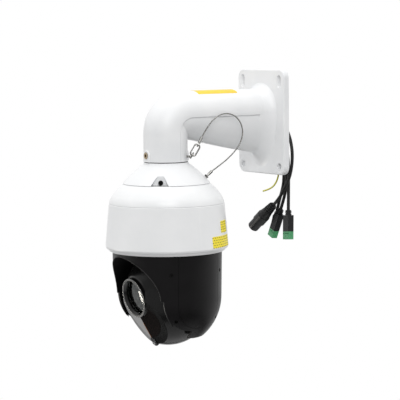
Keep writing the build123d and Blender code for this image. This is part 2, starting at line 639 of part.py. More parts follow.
with BuildPart() as pan_yoke:
    with BuildSketch(dome(YOKE_TOP_H - YOKE_T)):
        Circle(BODY_TOP_R - BODY_WALL - 10)
    extrude(amount=YOKE_T)
    with BuildSketch(dome(YOKE_TOP_H)):
        Circle(BEARING_MID_R - 0.3)
        Circle(BEARING_INNER_R, mode=Mode.SUBTRACT)
    extrude(amount=BEARING_H - 1 - YOKE_TOP_H)
    for side in (-1, 1):
        arm_plane = DOME_SIDE.offset(side * ARM_PLATE_X if side > 0 else -ARM_PLATE_X - ARM_PLATE_T)
        with BuildSketch(arm_plane):
            with Locations((0, TILT_H)):
                Circle(ARM_HALF_W)
                Rectangle(2 * ARM_HALF_W, YOKE_TOP_H - 1 - TILT_H, align=(Align.CENTER, Align.MIN))
                Circle(BEARING_SEAT_R, mode=Mode.SUBTRACT)
        extrude(amount=ARM_PLATE_T)
    with BuildSketch(DOME_SIDE.offset(-ARM_PLATE_X - ARM_PLATE_T)):
        with Locations((0, TILT_MOTOR_H)):
            Circle(TILT_MOTOR_R + 0.2)
    extrude(amount=ARM_PLATE_T, mode=Mode.SUBTRACT)
finish(pan_yoke, "pan_yoke")

with BuildPart() as tilt_bearings:
    for x in (-ARM_PLATE_X - ARM_PLATE_T, ARM_PLATE_X):
        with BuildSketch(DOME_SIDE.offset(x)):
            with Locations((0, TILT_H)):
                Circle(BEARING_SEAT_R)
                Circle(SHAFT_R + 0.05, mode=Mode.SUBTRACT)
        extrude(amount=ARM_PLATE_T)
finish(tilt_bearings, "tilt_bearings")

with BuildPart() as tilt_motor:
    with BuildSketch(DOME_SIDE.offset(-ARM_PLATE_X + 2)):
        with Locations((0, TILT_MOTOR_H)):
            Circle(TILT_MOTOR_R)
    extrude(amount=-ARM_PLATE_T - 2)
    with BuildSketch(DOME_SIDE.offset(-ARM_PLATE_X - ARM_PLATE_T)):
        with Locations((0, TILT_MOTOR_H)):
            Circle(2.2)
    extrude(amount=ARM_PLATE_T - 1, mode=Mode.SUBTRACT)
    with BuildSketch(DOME_SIDE.offset(-ARM_PLATE_X - ARM_PLATE_T)):
        with Locations((0, TILT_MOTOR_H)):
            SlotCenterToCenter(28, 6)
            Circle(6, mode=Mode.SUBTRACT)
    extrude(amount=-0.6)
finish(tilt_motor, "tilt_motor")

TILT_BELT_X = -ARM_PLATE_X - ARM_PLATE_T - 0.8
MOTOR_PULLEY_PLANE = Plane(
    origin=(TILT_BELT_X - TILT_BELT_W, -REACH, RING_Z + TILT_MOTOR_H), x_dir=(0, 1, 0), z_dir=(1, 0, 0)
)
drive_pulley(
    MOTOR_PULLEY_PLANE, TILT_MOTOR_PULLEY_R, TILT_BELT_W, 0, "tilt_motor_pulley", 1.5, TILT_BELT_W + 3
)
TILT_BELT_PLANE = TILT_SIDE.offset(TILT_BELT_X - TILT_BELT_W)
tilt_belt = belt_loop(
    TILT_BELT_PLANE, TILT_PULLEY_R, TILT_MOTOR_PULLEY_R, TILT_MOTOR_H - TILT_H, TILT_BELT_W
)
finish(tilt_belt, "tilt_belt")


def body_solid(shrink=0.0, top=BODY_TOP_H):
    """Half outline of the turning body for a revolve: a slightly tapered drum that ends in a sphere."""
    r = BODY_R - shrink
    Polyline((0, BODY_CENTRE_H - r), (0, top), (BODY_TOP_R - shrink, top), (r, BODY_CENTRE_H))
    RadiusArc((r, BODY_CENTRE_H), (0, BODY_CENTRE_H - r), r)


def panel_outline(grow=0.0):
    """Upright slot with a round lower end, in the side view."""
    with Locations((PANEL_Y, PANEL_H)):
        Circle(PANEL_HALF_W + grow)
        Rectangle(2 * (PANEL_HALF_W + grow), 100, align=(Align.CENTER, Align.MIN))


with BuildPart() as body_outer:
    with BuildSketch(DOME_SECTION):
        with BuildLine():
            body_solid()
        make_face()
    revolve(axis=DOME_AXIS)

with BuildPart() as body_shell:
    add(body_outer.part)
    with BuildSketch(DOME_SECTION):
        with BuildLine():
            body_solid(BODY_WALL, BODY_TOP_H - BODY_WALL)
        make_face()
    revolve(axis=DOME_AXIS, mode=Mode.SUBTRACT)
    with BuildSketch(dome(BODY_TOP_H - BODY_WALL - 1)):
        Circle(BODY_TOP_R - BODY_WALL - 8)
    extrude(amount=BODY_WALL + 2, mode=Mode.SUBTRACT)
    with BuildSketch(DOME_SECTION):
        with Locations((0, BODY_CENTRE_H)):
            Circle(ARCH_R + BODY_WALL)
            Rectangle(2 * (ARCH_R + BODY_WALL), 90, align=(Align.CENTER, Align.MAX))
    extrude(amount=90, mode=Mode.SUBTRACT)

with BuildPart() as arch_wall:
    with BuildSketch(DOME_SECTION.offset(ARCH_DEPTH)):
        with Locations((0, BODY_CENTRE_H)):
            Circle(ARCH_R + BODY_WALL)
            Rectangle(2 * (ARCH_R + BODY_WALL), 90, align=(Align.CENTER, Align.MAX))
    extrude(amount=90)
    add(body_outer.part, mode=Mode.INTERSECT)
    with BuildSketch(DOME_SECTION.offset(ARCH_DEPTH - 1)):
        with Locations((0, BODY_CENTRE_H)):
            Circle(ARCH_R)
            Rectangle(2 * ARCH_R, 90, align=(Align.CENTER, Align.MAX))
    extrude(amount=92, mode=Mode.SUBTRACT)

with BuildPart() as ear_shells:
    add(body_shell.part)
    add(arch_wall.part)
    # the lower front is open, so that the head can look straight down
    with BuildSketch(DOME_SIDE):
        with BuildLine():
            front, middle, rear = EAR_EDGE
            ThreePointArc(front, middle, rear)
            Polyline(rear, (90, rear[1]), (90, -160), (-90, -160), (-90, front[1]), front)
        make_face()
    extrude(amount=90, both=True, mode=Mode.SUBTRACT)

with BuildPart() as panel_layer:
    with BuildSketch(DOME_SIDE):
        panel_outline()
    extrude(amount=90, both=True)
    with BuildSketch(DOME_SECTION):
        with BuildLine():
            body_solid(PANEL_T + 0.1, BODY_TOP_H + 1)
        make_face()
    revolve(axis=DOME_AXIS, mode=Mode.SUBTRACT)

with BuildPart() as panels:
    with BuildSketch(DOME_SIDE):
        panel_outline(-PANEL_GAP)
    extrude(amount=90, both=True)
    add(body_outer.part, mode=Mode.INTERSECT)
    with BuildSketch(DOME_SECTION):
        with BuildLine():
            body_solid(PANEL_T, BODY_TOP_H + 1)
        make_face()
    revolve(axis=DOME_AXIS, mode=Mode.SUBTRACT)


def ear_plane(side, y, h, x):
    """Plane facing outwards through the side of the body."""
    return Plane(origin=(side * x, -REACH + y, RING_Z + h), x_dir=(0, side, 0), z_dir=(side, 0, 0))


def screw_plane(side, y, h, depth):
    """Plane square to the body's outer surface at y behind the axis and height h, sunk by depth."""
    drop = min(h - BODY_CENTRE_H, 0)
    r = sqrt(BODY_R**2 - drop**2)
    if h > BODY_CENTRE_H:
        r += (BODY_TOP_R - BODY_R) * (h - BODY_CENTRE_H) / (BODY_TOP_H - BODY_CENTRE_H)
    x = sqrt(r * r - y * y)
    outwards = Vector(side * x, y, drop).normalized()
    place = Vector(side * x, -REACH + y, RING_Z + h)
    return Plane(origin=place - outwards * depth, x_dir=outwards.cross(Vector(0, 0, 1)), z_dir=outwards)


for side, name in ((-1, "left"), (1, "right")):
    keep = Keep.TOP if side > 0 else Keep.BOTTOM
    with BuildPart() as ear_shell:
        add(ear_shells.part)
        for y, h in EAR_SCREWS:
            with BuildSketch(screw_plane(side, y, h, BOSS_L)):
                Circle(BOSS_R)
            extrude(amount=BOSS_L - 1)
        add(panel_layer.part, mode=Mode.SUBTRACT)
        for y, h in EAR_SCREWS:
            with BuildSketch(screw_plane(side, y, h, EAR_SCREW_DEPTH)):
                Circle(EAR_SCREW_R + 0.2)
            extrude(amount=20, mode=Mode.SUBTRACT)
            with BuildSketch(screw_plane(side, y, h, EAR_SCREW_DEPTH + EAR_SCREW_L)):
                Circle(EAR_SHANK_R)
            extrude(amount=EAR_SCREW_L + 1, mode=Mode.SUBTRACT)
        split(bisect_by=DOME_SIDE.offset(side * EAR_SPLIT_GAP), keep=keep)
    finish(ear_shell, f"ear_shell_{name}")
    with BuildPart() as ear_panel:
        add(panels.part)
        split(bisect_by=DOME_SIDE, keep=keep)
    finish(ear_panel, f"ear_panel_{name}")

with BuildPart() as ear_screws:
    for side in (-1, 1):
        for y, h in EAR_SCREWS:
            with BuildSketch(screw_plane(side, y, h, EAR_SCREW_DEPTH + EAR_SCREW_L)):
                Circle(EAR_SHANK_R)
            extrude(amount=EAR_SCREW_L)
            with BuildSketch(screw_plane(side, y, h, EAR_SCREW_DEPTH)):
                Circle(EAR_SCREW_R)
                Rectangle(3, 0.8, mode=Mode.SUBTRACT)
                Rectangle(0.8, 3, mode=Mode.SUBTRACT)
            extrude(amount=1.2)
finish(ear_screws, "ear_screws")


# ---------------------------------------------------------------- tilting head

FACE_NORMAL = HEAD_FORWARD * cos(radians(FACE_DROP)) - HEAD_UP * sin(radians(FACE_DROP))
FACE = Plane(origin=head().origin + FACE_NORMAL * FACE_OUT, x_dir=(1, 0, 0), z_dir=FACE_NORMAL)
CREASE_SECTION = Plane(origin=FACE.origin, x_dir=(1, 0, 0), z_dir=FACE.y_dir * -1)   # y is the outward normal


def in_front_of_face(depth, reach=60.0):
    """Everything in front of the two front facets, sunk by depth."""
    slope = tan(radians(FACET_TILT))
    with BuildPart() as region:
        with BuildSketch(CREASE_SECTION):
            with BuildLine():
                Polyline(
                    (0, -depth),
                    (80, -depth - 80 * slope),
                    (80, reach),
                    (-80, reach),
                    (-80, -depth - 80 * slope),
                    close=True,
                )
            make_face()
        extrude(amount=90, both=True)
    return region.part


def window_outline(shrink=0.0):
    """Shield shape with a pointed lower end; its top runs under the lens ring."""
    with BuildSketch() as shield:
        with BuildLine():
            lower = ThreePointArc((0, WINDOW_TIP), (18.5, -22.0), (29.5, -12.5))
            side = TangentArc(lower @ 1, (32.5, 12), tangent=lower % 1)
            Polyline(side @ 1, (25, WINDOW_TOP), (0, WINDOW_TOP))
            mirror(about=Plane.YZ)
        make_face()
        if shrink:
            offset(amount=-shrink, mode=Mode.REPLACE)
    return shield.sketch


def lens_cylinder(radius, s0, s1):
    with BuildPart() as cylinder:
        with BuildSketch(head(s0)):
            with Locations((0, LENS_H)):
                Circle(radius)
        extrude(amount=s1 - s0)
    return cylinder.part


def ball(radius, half_w):
    with BuildPart(head()) as solid:
        Sphere(radius)
        Box(2 * half_w, 200, 200, mode=Mode.INTERSECT)
    return solid.part


with BuildPart() as head_hollow:
    add(ball(BALL_R - BALL_WALL, BALL_HALF_W - BALL_WALL))
    add(in_front_of_face(BALL_WALL + WINDOW_T), mode=Mode.SUBTRACT)

with BuildPart() as window_seat:
    with BuildSketch(FACE.offset(-20)):
        add(window_outline())
    extrude(amount=40)
    add(in_front_of_face(WINDOW_T), mode=Mode.INTERSECT)

with BuildPart() as head_shell:
    add(ball(BALL_R, BALL_HALF_W))
    # raised brow round the lens
    with BuildSketch(HEAD_SECTION):
        with BuildLine():
            Polyline(
                (LENS_H, BROW_BACK),
                (LENS_H + BROW_BACK_R, BROW_BACK),
                (LENS_H + LENS_RING_R + 2.2, BROW_FRONT - 1.2),
                (LENS_H + LENS_RING_R + 0.6, BROW_FRONT),
                (LENS_H, BROW_FRONT),
                close=True,
            )
        make_face()
    revolve(axis=LENS_AXIS)
    add(in_front_of_face(0), mode=Mode.SUBTRACT)
    add(head_hollow.part, mode=Mode.SUBTRACT)
    # small lug with the head's screw below the window
    with BuildSketch(FACE.offset(-9)):
        with Locations((0, LUG_Y)):
            RectangleRounded(11, 13, 4)
    extrude(amount=9 + LUG_PROUD)
    with BuildSketch(FACE.offset(-6)):
        with Locations((0, LUG_Y - 1.5)):
            Circle(1.5)
    extrude(amount=10, mode=Mode.SUBTRACT)
    add(lens_cylinder(LENS_RING_R + 0.2, BROW_BACK - 4, 80), mode=Mode.SUBTRACT)
    add(window_seat.part, mode=Mode.SUBTRACT)
    with BuildSketch(FACE.offset(-20)):
        add(window_outline(3.0))
    extrude(amount=40, mode=Mode.SUBTRACT)

for keep, name in ((Keep.TOP, "head_front_shell"), (Keep.BOTTOM, "head_rear_shell")):
    with BuildPart() as half:
        add(head_shell.part)
        split(bisect_by=head(HEAD_SPLIT_S), keep=keep)
    finish(half, name)

with BuildPart() as front_window:
    with BuildSketch(FACE.offset(-20)):
        add(window_outline(0.15))
    extrude(amount=40)
    add(in_front_of_face(WINDOW_T - 0.1), mode=Mode.INTERSECT)
    add(in_front_of_face(-WINDOW_PROUD), mode=Mode.SUBTRACT)
    add(lens_cylinder(LENS_RING_R + 0.3, BROW_BACK, 80), mode=Mode.SUBTRACT)
finish(front_window, "front_window")

with BuildPart() as lens_ring:
    with BuildSketch(HEAD_SECTION):
        with BuildLine():
            Polyline(
                (LENS_H + LENS_OPEN_R, LENS_FRONT),
                (LENS_H + LENS_RING_R - 0.8, LENS_FRONT),
                (LENS_H + LENS_RING_R, LENS_FRONT - 0.8),
                (LENS_H + LENS_RING_R, BROW_BACK),
                (LENS_H + LENS_OPEN_R + 0.3, BROW_BACK),
                (LENS_H + LENS_OPEN_R + 0.3, GLASS_S - 2),
                (LENS_H + LENS_OPEN_R - 2.2, GLASS_S + 1.8),
                close=True,
            )
        make_face()
    revolve(axis=LENS_AXIS)
finish(lens_ring, "lens_ring")

with BuildPart() as lens_glass:
    with BuildSketch(HEAD_SECTION):
        with BuildLine():
            Line((LENS_H, GLASS_S - 4.5), (LENS_H + LENS_OPEN_R, GLASS_S - 4.5))
            Line((LENS_H + LENS_OPEN_R, GLASS_S - 4.5), (LENS_H + LENS_OPEN_R, GLASS_S + 0.3 - GLASS_BULGE))
            RadiusArc(
                (LENS_H + LENS_OPEN_R, GLASS_S + 0.3 - GLASS_BULGE),
                (LENS_H, GLASS_S + 0.3),
                -(LENS_OPEN_R**2 + GLASS_BULGE**2) / (2 * GLASS_BULGE),
            )
            Line((LENS_H, GLASS_S + 0.3), (LENS_H, GLASS_S - 4.5))
        make_face()
    revolve(axis=LENS_AXIS)
finish(lens_glass, "lens_glass")

with BuildPart() as lens_barrel:
    with BuildSketch(head(BARREL_BACK)):
        with Locations((0, LENS_H)):
            Circle(BARREL_R)
            Circle(BARREL_BORE_R, mode=Mode.SUBTRACT)
    extrude(amount=BARREL_FRONT - BARREL_BACK)
    with BuildSketch(head(BARREL_FRONT - 6)):
        with Locations((0, LENS_H)):
            Circle(LENS_OPEN_R + 0.2)
            Circle(BARREL_BORE_R, mode=Mode.SUBTRACT)
    extrude(amount=3)
    with BuildSketch(head(BARREL_BACK)):
        with Locations((0, LENS_H)):
            with GridLocations(26, 26, 2, 2):
                Circle(2)
    extrude(amount=SENSOR_S + BOARD_T - BARREL_BACK)
finish(lens_barrel, "lens_barrel")

with BuildPart() as sensor_board:
    with BuildSketch(head(SENSOR_S)):
        with Locations((0, LENS_H)):
            RectangleRounded(34, 34, 2)
    extrude(amount=BOARD_T)
    with BuildSketch(head(SENSOR_S + BOARD_T)):
        with Locations((0, LENS_H)):
            Rectangle(12, 10)
    extrude(amount=1.2)
finish(sensor_board, "sensor_board")

for name, s0, thick in (("zoom_group", ZOOM_S, 5), ("focus_group", FOCUS_S, 4)):
    with BuildPart() as group:
        with BuildSketch(head(s0)):
            with Locations((0, LENS_H)):
                Circle(BARREL_BORE_R - 0.3)
        extrude(amount=thick)
    finish(group, name)

with BuildPart() as ir_cut_filter:
    with BuildSketch(head(FILTER_S)):
        with Locations((0, LENS_H)):
            RectangleRounded(34, 16, 1)
            with Locations((-8, 0)):
                Rectangle(13, 11, mode=Mode.SUBTRACT)
    extrude(amount=1.4)
finish(ir_cut_filter, "ir_cut_filter")

with BuildPart() as ir_led_board:
    with BuildSketch(FACE.offset(-LED_BOARD_DEPTH)):
        with Locations((0, -4)):
            RectangleRounded(50, 30, 8)
    extrude(amount=-BOARD_T)
    with BuildSketch(FACE.offset(-LED_BOARD_DEPTH)):
        with Locations(*LED_PLACES):
            Circle(LED_R)
    extrude(amount=2.4)
    add(lens_cylinder(LENS_RING_R + 0.4, 0, 80), mode=Mode.SUBTRACT)
finish(ir_led_board, "ir_led_board")

with BuildPart() as head_screw:
    with BuildSketch(FACE.offset(-6)):
        with Locations((0, LUG_Y - 1.5)):
            Circle(1.5)
    extrude(amount=6 + LUG_PROUD)
    with BuildSketch(FACE.offset(LUG_PROUD)):
        with Locations((0, LUG_Y - 1.5)):
            Circle(2.8)
            RegularPolygon(1.3, 6, mode=Mode.SUBTRACT)
    extrude(amount=1.4)
finish(head_screw, "head_screw")

with BuildPart() as tilt_shafts:
    for side, end in ((-1, -TILT_BELT_X + TILT_BELT_W), (1, ARM_PLATE_X + ARM_PLATE_T + 1)):
        with BuildSketch(ear_plane(side, 0, TILT_H, BALL_HALF_W)):
            Circle(14)
        extrude(amount=2)
        with BuildSketch(ear_plane(side, 0, TILT_H, BALL_HALF_W)):
            Circle(SHAFT_R)
        extrude(amount=end - BALL_HALF_W)
finish(tilt_shafts, "tilt_shafts")

drive_pulley(TILT_BELT_PLANE, TILT_PULLEY_R, TILT_BELT_W, SHAFT_R, "tilt_pulley")


# ---------------------------------------------------------------- safety rope

with BuildPart() as snap_hook:
    with BuildSketch(HOOK.offset(-HOOK_WIRE_R)):
        SlotOverall(HOOK_L, HOOK_W)
        offset(amount=-2 * HOOK_WIRE_R, mode=Mode.SUBTRACT)
        with Locations((0, HOOK_W / 2 - HOOK_WIRE_R)):
            Rectangle(GATE_L + 2 * GATE_GAP, 3 * HOOK_WIRE_R, mode=Mode.SUBTRACT)
    extrude(amount=2 * HOOK_WIRE_R)
finish(snap_hook, "snap_hook")

with BuildPart() as snap_hook_gate:
    with BuildSketch(HOOK.offset(-HOOK_WIRE_R * 0.8)):
        with Locations((0, HOOK_W / 2 - HOOK_WIRE_R)):
            RectangleRounded(GATE_L, 1.6 * HOOK_WIRE_R, 0.8)
    extrude(amount=1.6 * HOOK_WIRE_R)
    with BuildSketch(HOOK.offset(-HOOK_WIRE_R)):
        with Locations((-GATE_L / 2 + GATE_PIVOT_R, HOOK_W / 2 - HOOK_WIRE_R)):
            Circle(GATE_PIVOT_R)
    extrude(amount=2 * HOOK_WIRE_R)
finish(snap_hook_gate, "snap_hook_gate")

with BuildPart() as safety_eye:
    with BuildSketch(EYE_FACE):
        Circle(EYE_SHANK_R)
    extrude(amount=6.5)
    with BuildSketch(EYE_PLANE.offset(-1)):
        Circle(EYE_RING_R + 1.1)
        Circle(EYE_RING_R - 1.1, mode=Mode.SUBTRACT)
    extrude(amount=2.0)
finish(safety_eye, "safety_eye")

cord("safety_rope", ROPE_ROUTE, ROPE_D)

with BuildPart() as rope_ferrules:
    # upper sleeve with a flat eye round the snap hook's end
    run = HOOK_END - Vector(*ROPE_ROUTE[0])
    eye_plane = Plane(origin=HOOK_END, z_dir=HOOK_U.cross(HOOK_N))
    with BuildSketch(Plane(origin=ROPE_ROUTE[0], z_dir=run)):
        Circle(FERRULE_R)
    extrude(amount=run.length - FERRULE_EYE_R)
    with BuildSketch(eye_plane.offset(-EYE_T / 2)):
        Circle(FERRULE_EYE_R + 1.4)
    extrude(amount=EYE_T)
    with BuildSketch(eye_plane.offset(-4)):
        Circle(FERRULE_EYE_R)
    extrude(amount=8, mode=Mode.SUBTRACT)
    # lower sleeve, crimped on the rope above the anchor
    with BuildSketch(ANCHOR.offset(ANCHOR_LENGTH)):
        Circle(FERRULE_R)
    extrude(amount=-FERRULE_L)
finish(rope_ferrules, "rope_ferrules")

with BuildPart() as rope_anchor:
    with BuildSketch(ANCHOR):
        Circle(ANCHOR_R)
    extrude(amount=ANCHOR_LENGTH - FERRULE_L)
    with BuildSketch(ANCHOR.offset(ANCHOR_COLLAR_S)):
        RegularPolygon(3.2, 6)
    extrude(amount=2)
finish(rope_anchor, "rope_anchor")


# ---------------------------------------------------------------- cables

BOOT_SECTION = Plane(origin=(0, 0, ARM_Z), x_dir=(0, 1, 0), z_dir=(1, 0, 0))    # x is +Y, y is up

with BuildPart() as cable_trunk:
    with BuildLine(SIDE) as trunk_line:
        trunk_foot = (-REACH, RING_Z + MAIN_BOARD_H + BOARD_T)
        FilletPolyline(trunk_foot, (-REACH, ARM_Z), (BOOT_START_Y, ARM_Z), radius=BEND_R)
    with BuildSketch(dome(MAIN_BOARD_H + BOARD_T)):
        Circle(TRUNK_D / 2)
    sweep(path=trunk_line.line)
finish(cable_trunk, "cable_trunk")

with BuildPart() as cable_breakout:
    with BuildSketch(BOOT_SECTION):
        with BuildLine():
            Polyline(
                (BOOT_START_Y, 0),
                (BOOT_START_Y, TRUNK_D / 2 + 1.5),
                (BOOT_START_Y + 12, BOOT_R),
                (BOOT_END_Y - 1, BOOT_R),
                (BOOT_END_Y, BOOT_R - 1),
                (BOOT_END_Y, 0),
                close=True,
            )
        make_face()
    revolve(axis=Axis((0, 0, ARM_Z), (0, 1, 0)))
finish(cable_breakout, "cable_breakout")

NETWORK_ROUTE = [
    (10.5, -18.0, 13.0),
    (16.0, -8.5, 11.5),
    (25.5, 1.0, 6.5),
    (36.0, 6.5, -4.5),
    (45.0, 8.5, -20.0),
    (50.5, 8.5, -38.0),
    (51.5, 7.5, -56.0),
    (49.5, 5.0, -74.0),
    (43.0, 1.0, -89.0),
    (33.5, -2.0, -105.0),
    (21.0, -3.0, -114.5),
]
POWER_ROUTE = [
    (-5.0, -18.0, 13.0),
    (-1.2, -8.5, 11.0),
    (6.0, 1.0, 4.0),
    (16.0, 7.0, -9.5),
    (24.0, 8.5, -28.0),
    (28.5, 8.5, -48.0),
    (31.0, 8.5, -68.0),
    (29.0, 9.0, -86.0),
    (21.0, 10.0, -101.0),
    (12.5, 12.0, -114.0),
    (6.5, 13.0, -127.0),
]
ALARM_ROUTE = [
    (0.3, -18.0, 13.0),
    (4.5, -8.5, 10.5),
    (13.0, 1.0, 3.5),
    (22.5, 7.0, -9.5),
    (29.5, 8.5, -27.0),
    (34.0, 8.5, -47.0),
    (36.5, 8.5, -67.0),
    (36.0, 8.5, -86.0),
    (32.5, 8.0, -103.0),
    (25.5, 6.5, -120.0),
]
AUDIO_ROUTE = [
    (5.5, -18.0, 13.0),
    (10.5, -8.5, 11.0),
    (19.5, 1.0, 5.0),
    (29.0, 7.0, -7.5),
    (36.0, 8.5, -25.0),
    (40.0, 8.5, -45.0),
    (41.8, 8.5, -65.0),
    (41.3, 8.5, -85.0),
    (42.3, 7.5, -103.0),
    (44.0, 6.0, -120.0),
]
EARTH_ROUTE = [
    (-2.0, -18.0, 6.5),
    (0.5, -8.5, 3.0),
    (6.0, 0.5, -7.0),
    (13.0, 5.0, -22.0),
    (19.5, 6.0, -40.0),
    (24.5, 5.0, -58.0),
    (25.0, 3.5, -75.0),
    (18.0, 2.5, -87.0),
    (5.0, 2.0, -94.0),
    (-10.5, 2.5, -97.5),
]
cord("cable_network", NETWORK_ROUTE, PIGTAIL_D)
cord("cable_power", POWER_ROUTE, PIGTAIL_D)
cord("cable_alarm", ALARM_ROUTE, PIGTAIL_D)
cord("cable_audio", AUDIO_ROUTE, PIGTAIL_D)
cord("earth_wire", EARTH_ROUTE, WIRE_D)


def plug_plane(route, facing=(1, 0, 0)):
    """Plane at a cable's far end, facing along the cable."""
    end = Vector(*route[-1])
    return Plane(origin=end, x_dir=facing, z_dir=end - Vector(*route[-2]))


NETWORK_END = plug_plane(NETWORK_ROUTE, (0, 1, 0))
with BuildPart() as rj45_coupler:
    # ribbed boot
    with BuildSketch(NETWORK_END):
        Circle(STRAIN_R[0])
    with BuildSketch(NETWORK_END.offset(STRAIN_L)):
        Circle(STRAIN_R[1])
    loft()
    for rib in range(4):
        with BuildSketch(NETWORK_END.offset(2 + 3 * rib)):
            Circle(STRAIN_R[0] + 1.2 + 0.3 * rib)
        extrude(amount=RIB_T)
    # cone, grip and the open end
    with BuildSketch(NETWORK_END.offset(STRAIN_L)):
        Circle(STRAIN_R[1] + 0.6)
    with BuildSketch(NETWORK_END.offset(STRAIN_L + CONE_L)):
        Circle(COUPLER_R - 0.4)
    loft()
    with BuildSketch(NETWORK_END.offset(STRAIN_L + CONE_L)):
        Circle(COUPLER_R)
    extrude(amount=GRIP_L)
    with BuildSketch(NETWORK_END.offset(STRAIN_L + CONE_L + GRIP_L)):
        Circle(COUPLER_R - 1.1)
    extrude(amount=COUPLER_L - STRAIN_L - CONE_L - GRIP_L)
    with BuildSketch(NETWORK_END.offset(COUPLER_L)):
        Rectangle(JACK_SOCKET[0], JACK_SOCKET[1])
    extrude(amount=-JACK_SOCKET[2], mode=Mode.SUBTRACT)
finish(rj45_coupler, "rj45_coupler")

ALARM_END = plug_plane(ALARM_ROUTE)
AUDIO_END = plug_plane(AUDIO_ROUTE)
POWER_END = plug_plane(POWER_ROUTE)
with BuildPart() as pigtail_connectors:
    for plane, (w, t, length) in ((ALARM_END, ALARM_BODY), (AUDIO_END, AUDIO_BODY)):
        with BuildSketch(plane):
            RectangleRounded(BOOT_W, BOOT_T, 2)
        extrude(amount=BOOT_L)
        for rib in range(3):
            with BuildSketch(plane.offset(1 + RIB_PITCH * rib)):
                RectangleRounded(BOOT_W + 1.6, BOOT_T + 1.4, 2.4)
            extrude(amount=RIB_T)
        with BuildSketch(plane.offset(BOOT_L)):
            RectangleRounded(w, t, 1.5)
        extrude(amount=length)
    with BuildSketch(POWER_END):
        Circle(DC_STRAIN_R)
    extrude(amount=5)
    with BuildSketch(POWER_END.offset(5)):
        Circle(DC_R)
        Circle(DC_BORE_R, mode=Mode.SUBTRACT)
    extrude(amount=DC_L)
finish(pigtail_connectors, "pigtail_connectors")

with BuildPart() as terminal_plugs:
    for plane, (w, t, length), ways in ((ALARM_END, ALARM_BODY, 3), (AUDIO_END, AUDIO_BODY, 4)):
        face = plane.offset(BOOT_L + length)
        with BuildSketch(face):
            Rectangle(w - 1, t - 1)
        extrude(amount=PLUG_L)
        # wire entries at the end, screw wells in the side
        with BuildSketch(face.offset(PLUG_L)):
            with GridLocations(w / ways - 0.2, 1, ways, 1):
                Rectangle(w / ways - 1.4, t / 2)
        extrude(amount=-SCREW_WELL_DEPTH, mode=Mode.SUBTRACT)
        side = Plane(
            origin=face.origin + face.z_dir * (PLUG_L - 8) + face.y_dir * (t - 1) / 2,
            x_dir=face.x_dir,
            z_dir=face.y_dir,
        )
        with BuildSketch(side):
            with GridLocations(w / ways - 0.2, 1, ways, 1):
                Circle(SCREW_WELL_R)
        extrude(amount=-1.5, mode=Mode.SUBTRACT)
finish(terminal_plugs, "terminal_plugs")
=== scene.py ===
import json
from math import cos, pi, radians, sin, sqrt

import bpy
from mathutils import Matrix, Vector


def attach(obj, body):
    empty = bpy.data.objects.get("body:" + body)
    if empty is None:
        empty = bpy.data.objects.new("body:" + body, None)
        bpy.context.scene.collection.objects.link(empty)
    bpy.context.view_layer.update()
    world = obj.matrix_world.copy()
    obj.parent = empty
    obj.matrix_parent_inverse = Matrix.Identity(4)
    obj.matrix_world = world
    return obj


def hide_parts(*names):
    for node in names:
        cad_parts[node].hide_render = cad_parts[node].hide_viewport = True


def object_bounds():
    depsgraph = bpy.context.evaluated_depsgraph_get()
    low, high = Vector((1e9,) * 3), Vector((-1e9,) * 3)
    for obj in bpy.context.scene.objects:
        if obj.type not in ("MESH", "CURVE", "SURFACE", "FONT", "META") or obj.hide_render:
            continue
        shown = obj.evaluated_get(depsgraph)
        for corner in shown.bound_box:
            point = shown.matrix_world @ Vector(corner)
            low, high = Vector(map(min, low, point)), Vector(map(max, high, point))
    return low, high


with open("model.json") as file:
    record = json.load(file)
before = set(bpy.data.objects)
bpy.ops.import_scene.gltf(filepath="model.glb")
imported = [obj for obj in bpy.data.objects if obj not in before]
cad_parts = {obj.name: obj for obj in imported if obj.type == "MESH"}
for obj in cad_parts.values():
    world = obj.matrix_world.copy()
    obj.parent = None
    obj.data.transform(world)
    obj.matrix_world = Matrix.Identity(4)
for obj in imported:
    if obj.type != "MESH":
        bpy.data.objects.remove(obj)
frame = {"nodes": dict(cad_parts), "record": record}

MM = 0.001
SCENE = bpy.context.scene
NODES = frame["nodes"]
CAD_LOW, CAD_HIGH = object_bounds()


# ---------------------------------------------------------------- camera

AZIMUTH, ELEVATION, ROLL = radians(57.0), radians(5.3), radians(0.6)
CAMERA_PLACE = Vector((2.0846, -1.4627, 0.1280))
LENS_MM, SENSOR_MM = 166.5, 36.0


def add_camera():
    """A long lens a little above the arm, from the front right, leaning a touch clockwise."""
    back = Vector((sin(AZIMUTH) * cos(ELEVATION), -cos(AZIMUTH) * cos(ELEVATION), sin(ELEVATION)))
    level = Vector((cos(AZIMUTH), sin(AZIMUTH), 0))
    up = back.cross(level)
    right = level * cos(ROLL) - up * sin(ROLL)
    up = level * sin(ROLL) + up * cos(ROLL)
    data = bpy.data.cameras.new("camera")
    data.lens = LENS_MM
    data.sensor_width = SENSOR_MM
    camera = bpy.data.objects.new("camera", data)
    SCENE.collection.objects.link(camera)
    turn = Matrix((right, up, back)).transposed()
    camera.matrix_world = Matrix.Translation(CAMERA_PLACE) @ turn.to_4x4()
    SCENE.camera = camera


add_camera()


# ---------------------------------------------------------------- node helpers

def new_material(name):
    """A material, its nodes, its links and its main shader."""
    material = bpy.data.materials.new(name)
    material.use_nodes = True
    tree = material.node_tree
    return material, tree.nodes, tree.links, tree.nodes["Principled BSDF"]


def noise(nodes, links, scale, detail=3.0):
    """Noise over the object's own coordinates, in metres."""
    place = nodes.new("ShaderNodeTexCoord")
    texture = nodes.new("ShaderNodeTexNoise")
    texture.inputs["Scale"].default_value = scale
    texture.inputs["Detail"].default_value = detail
    links.new(place.outputs["Object"], texture.inputs["Vector"])
    return texture.outputs["Fac"]


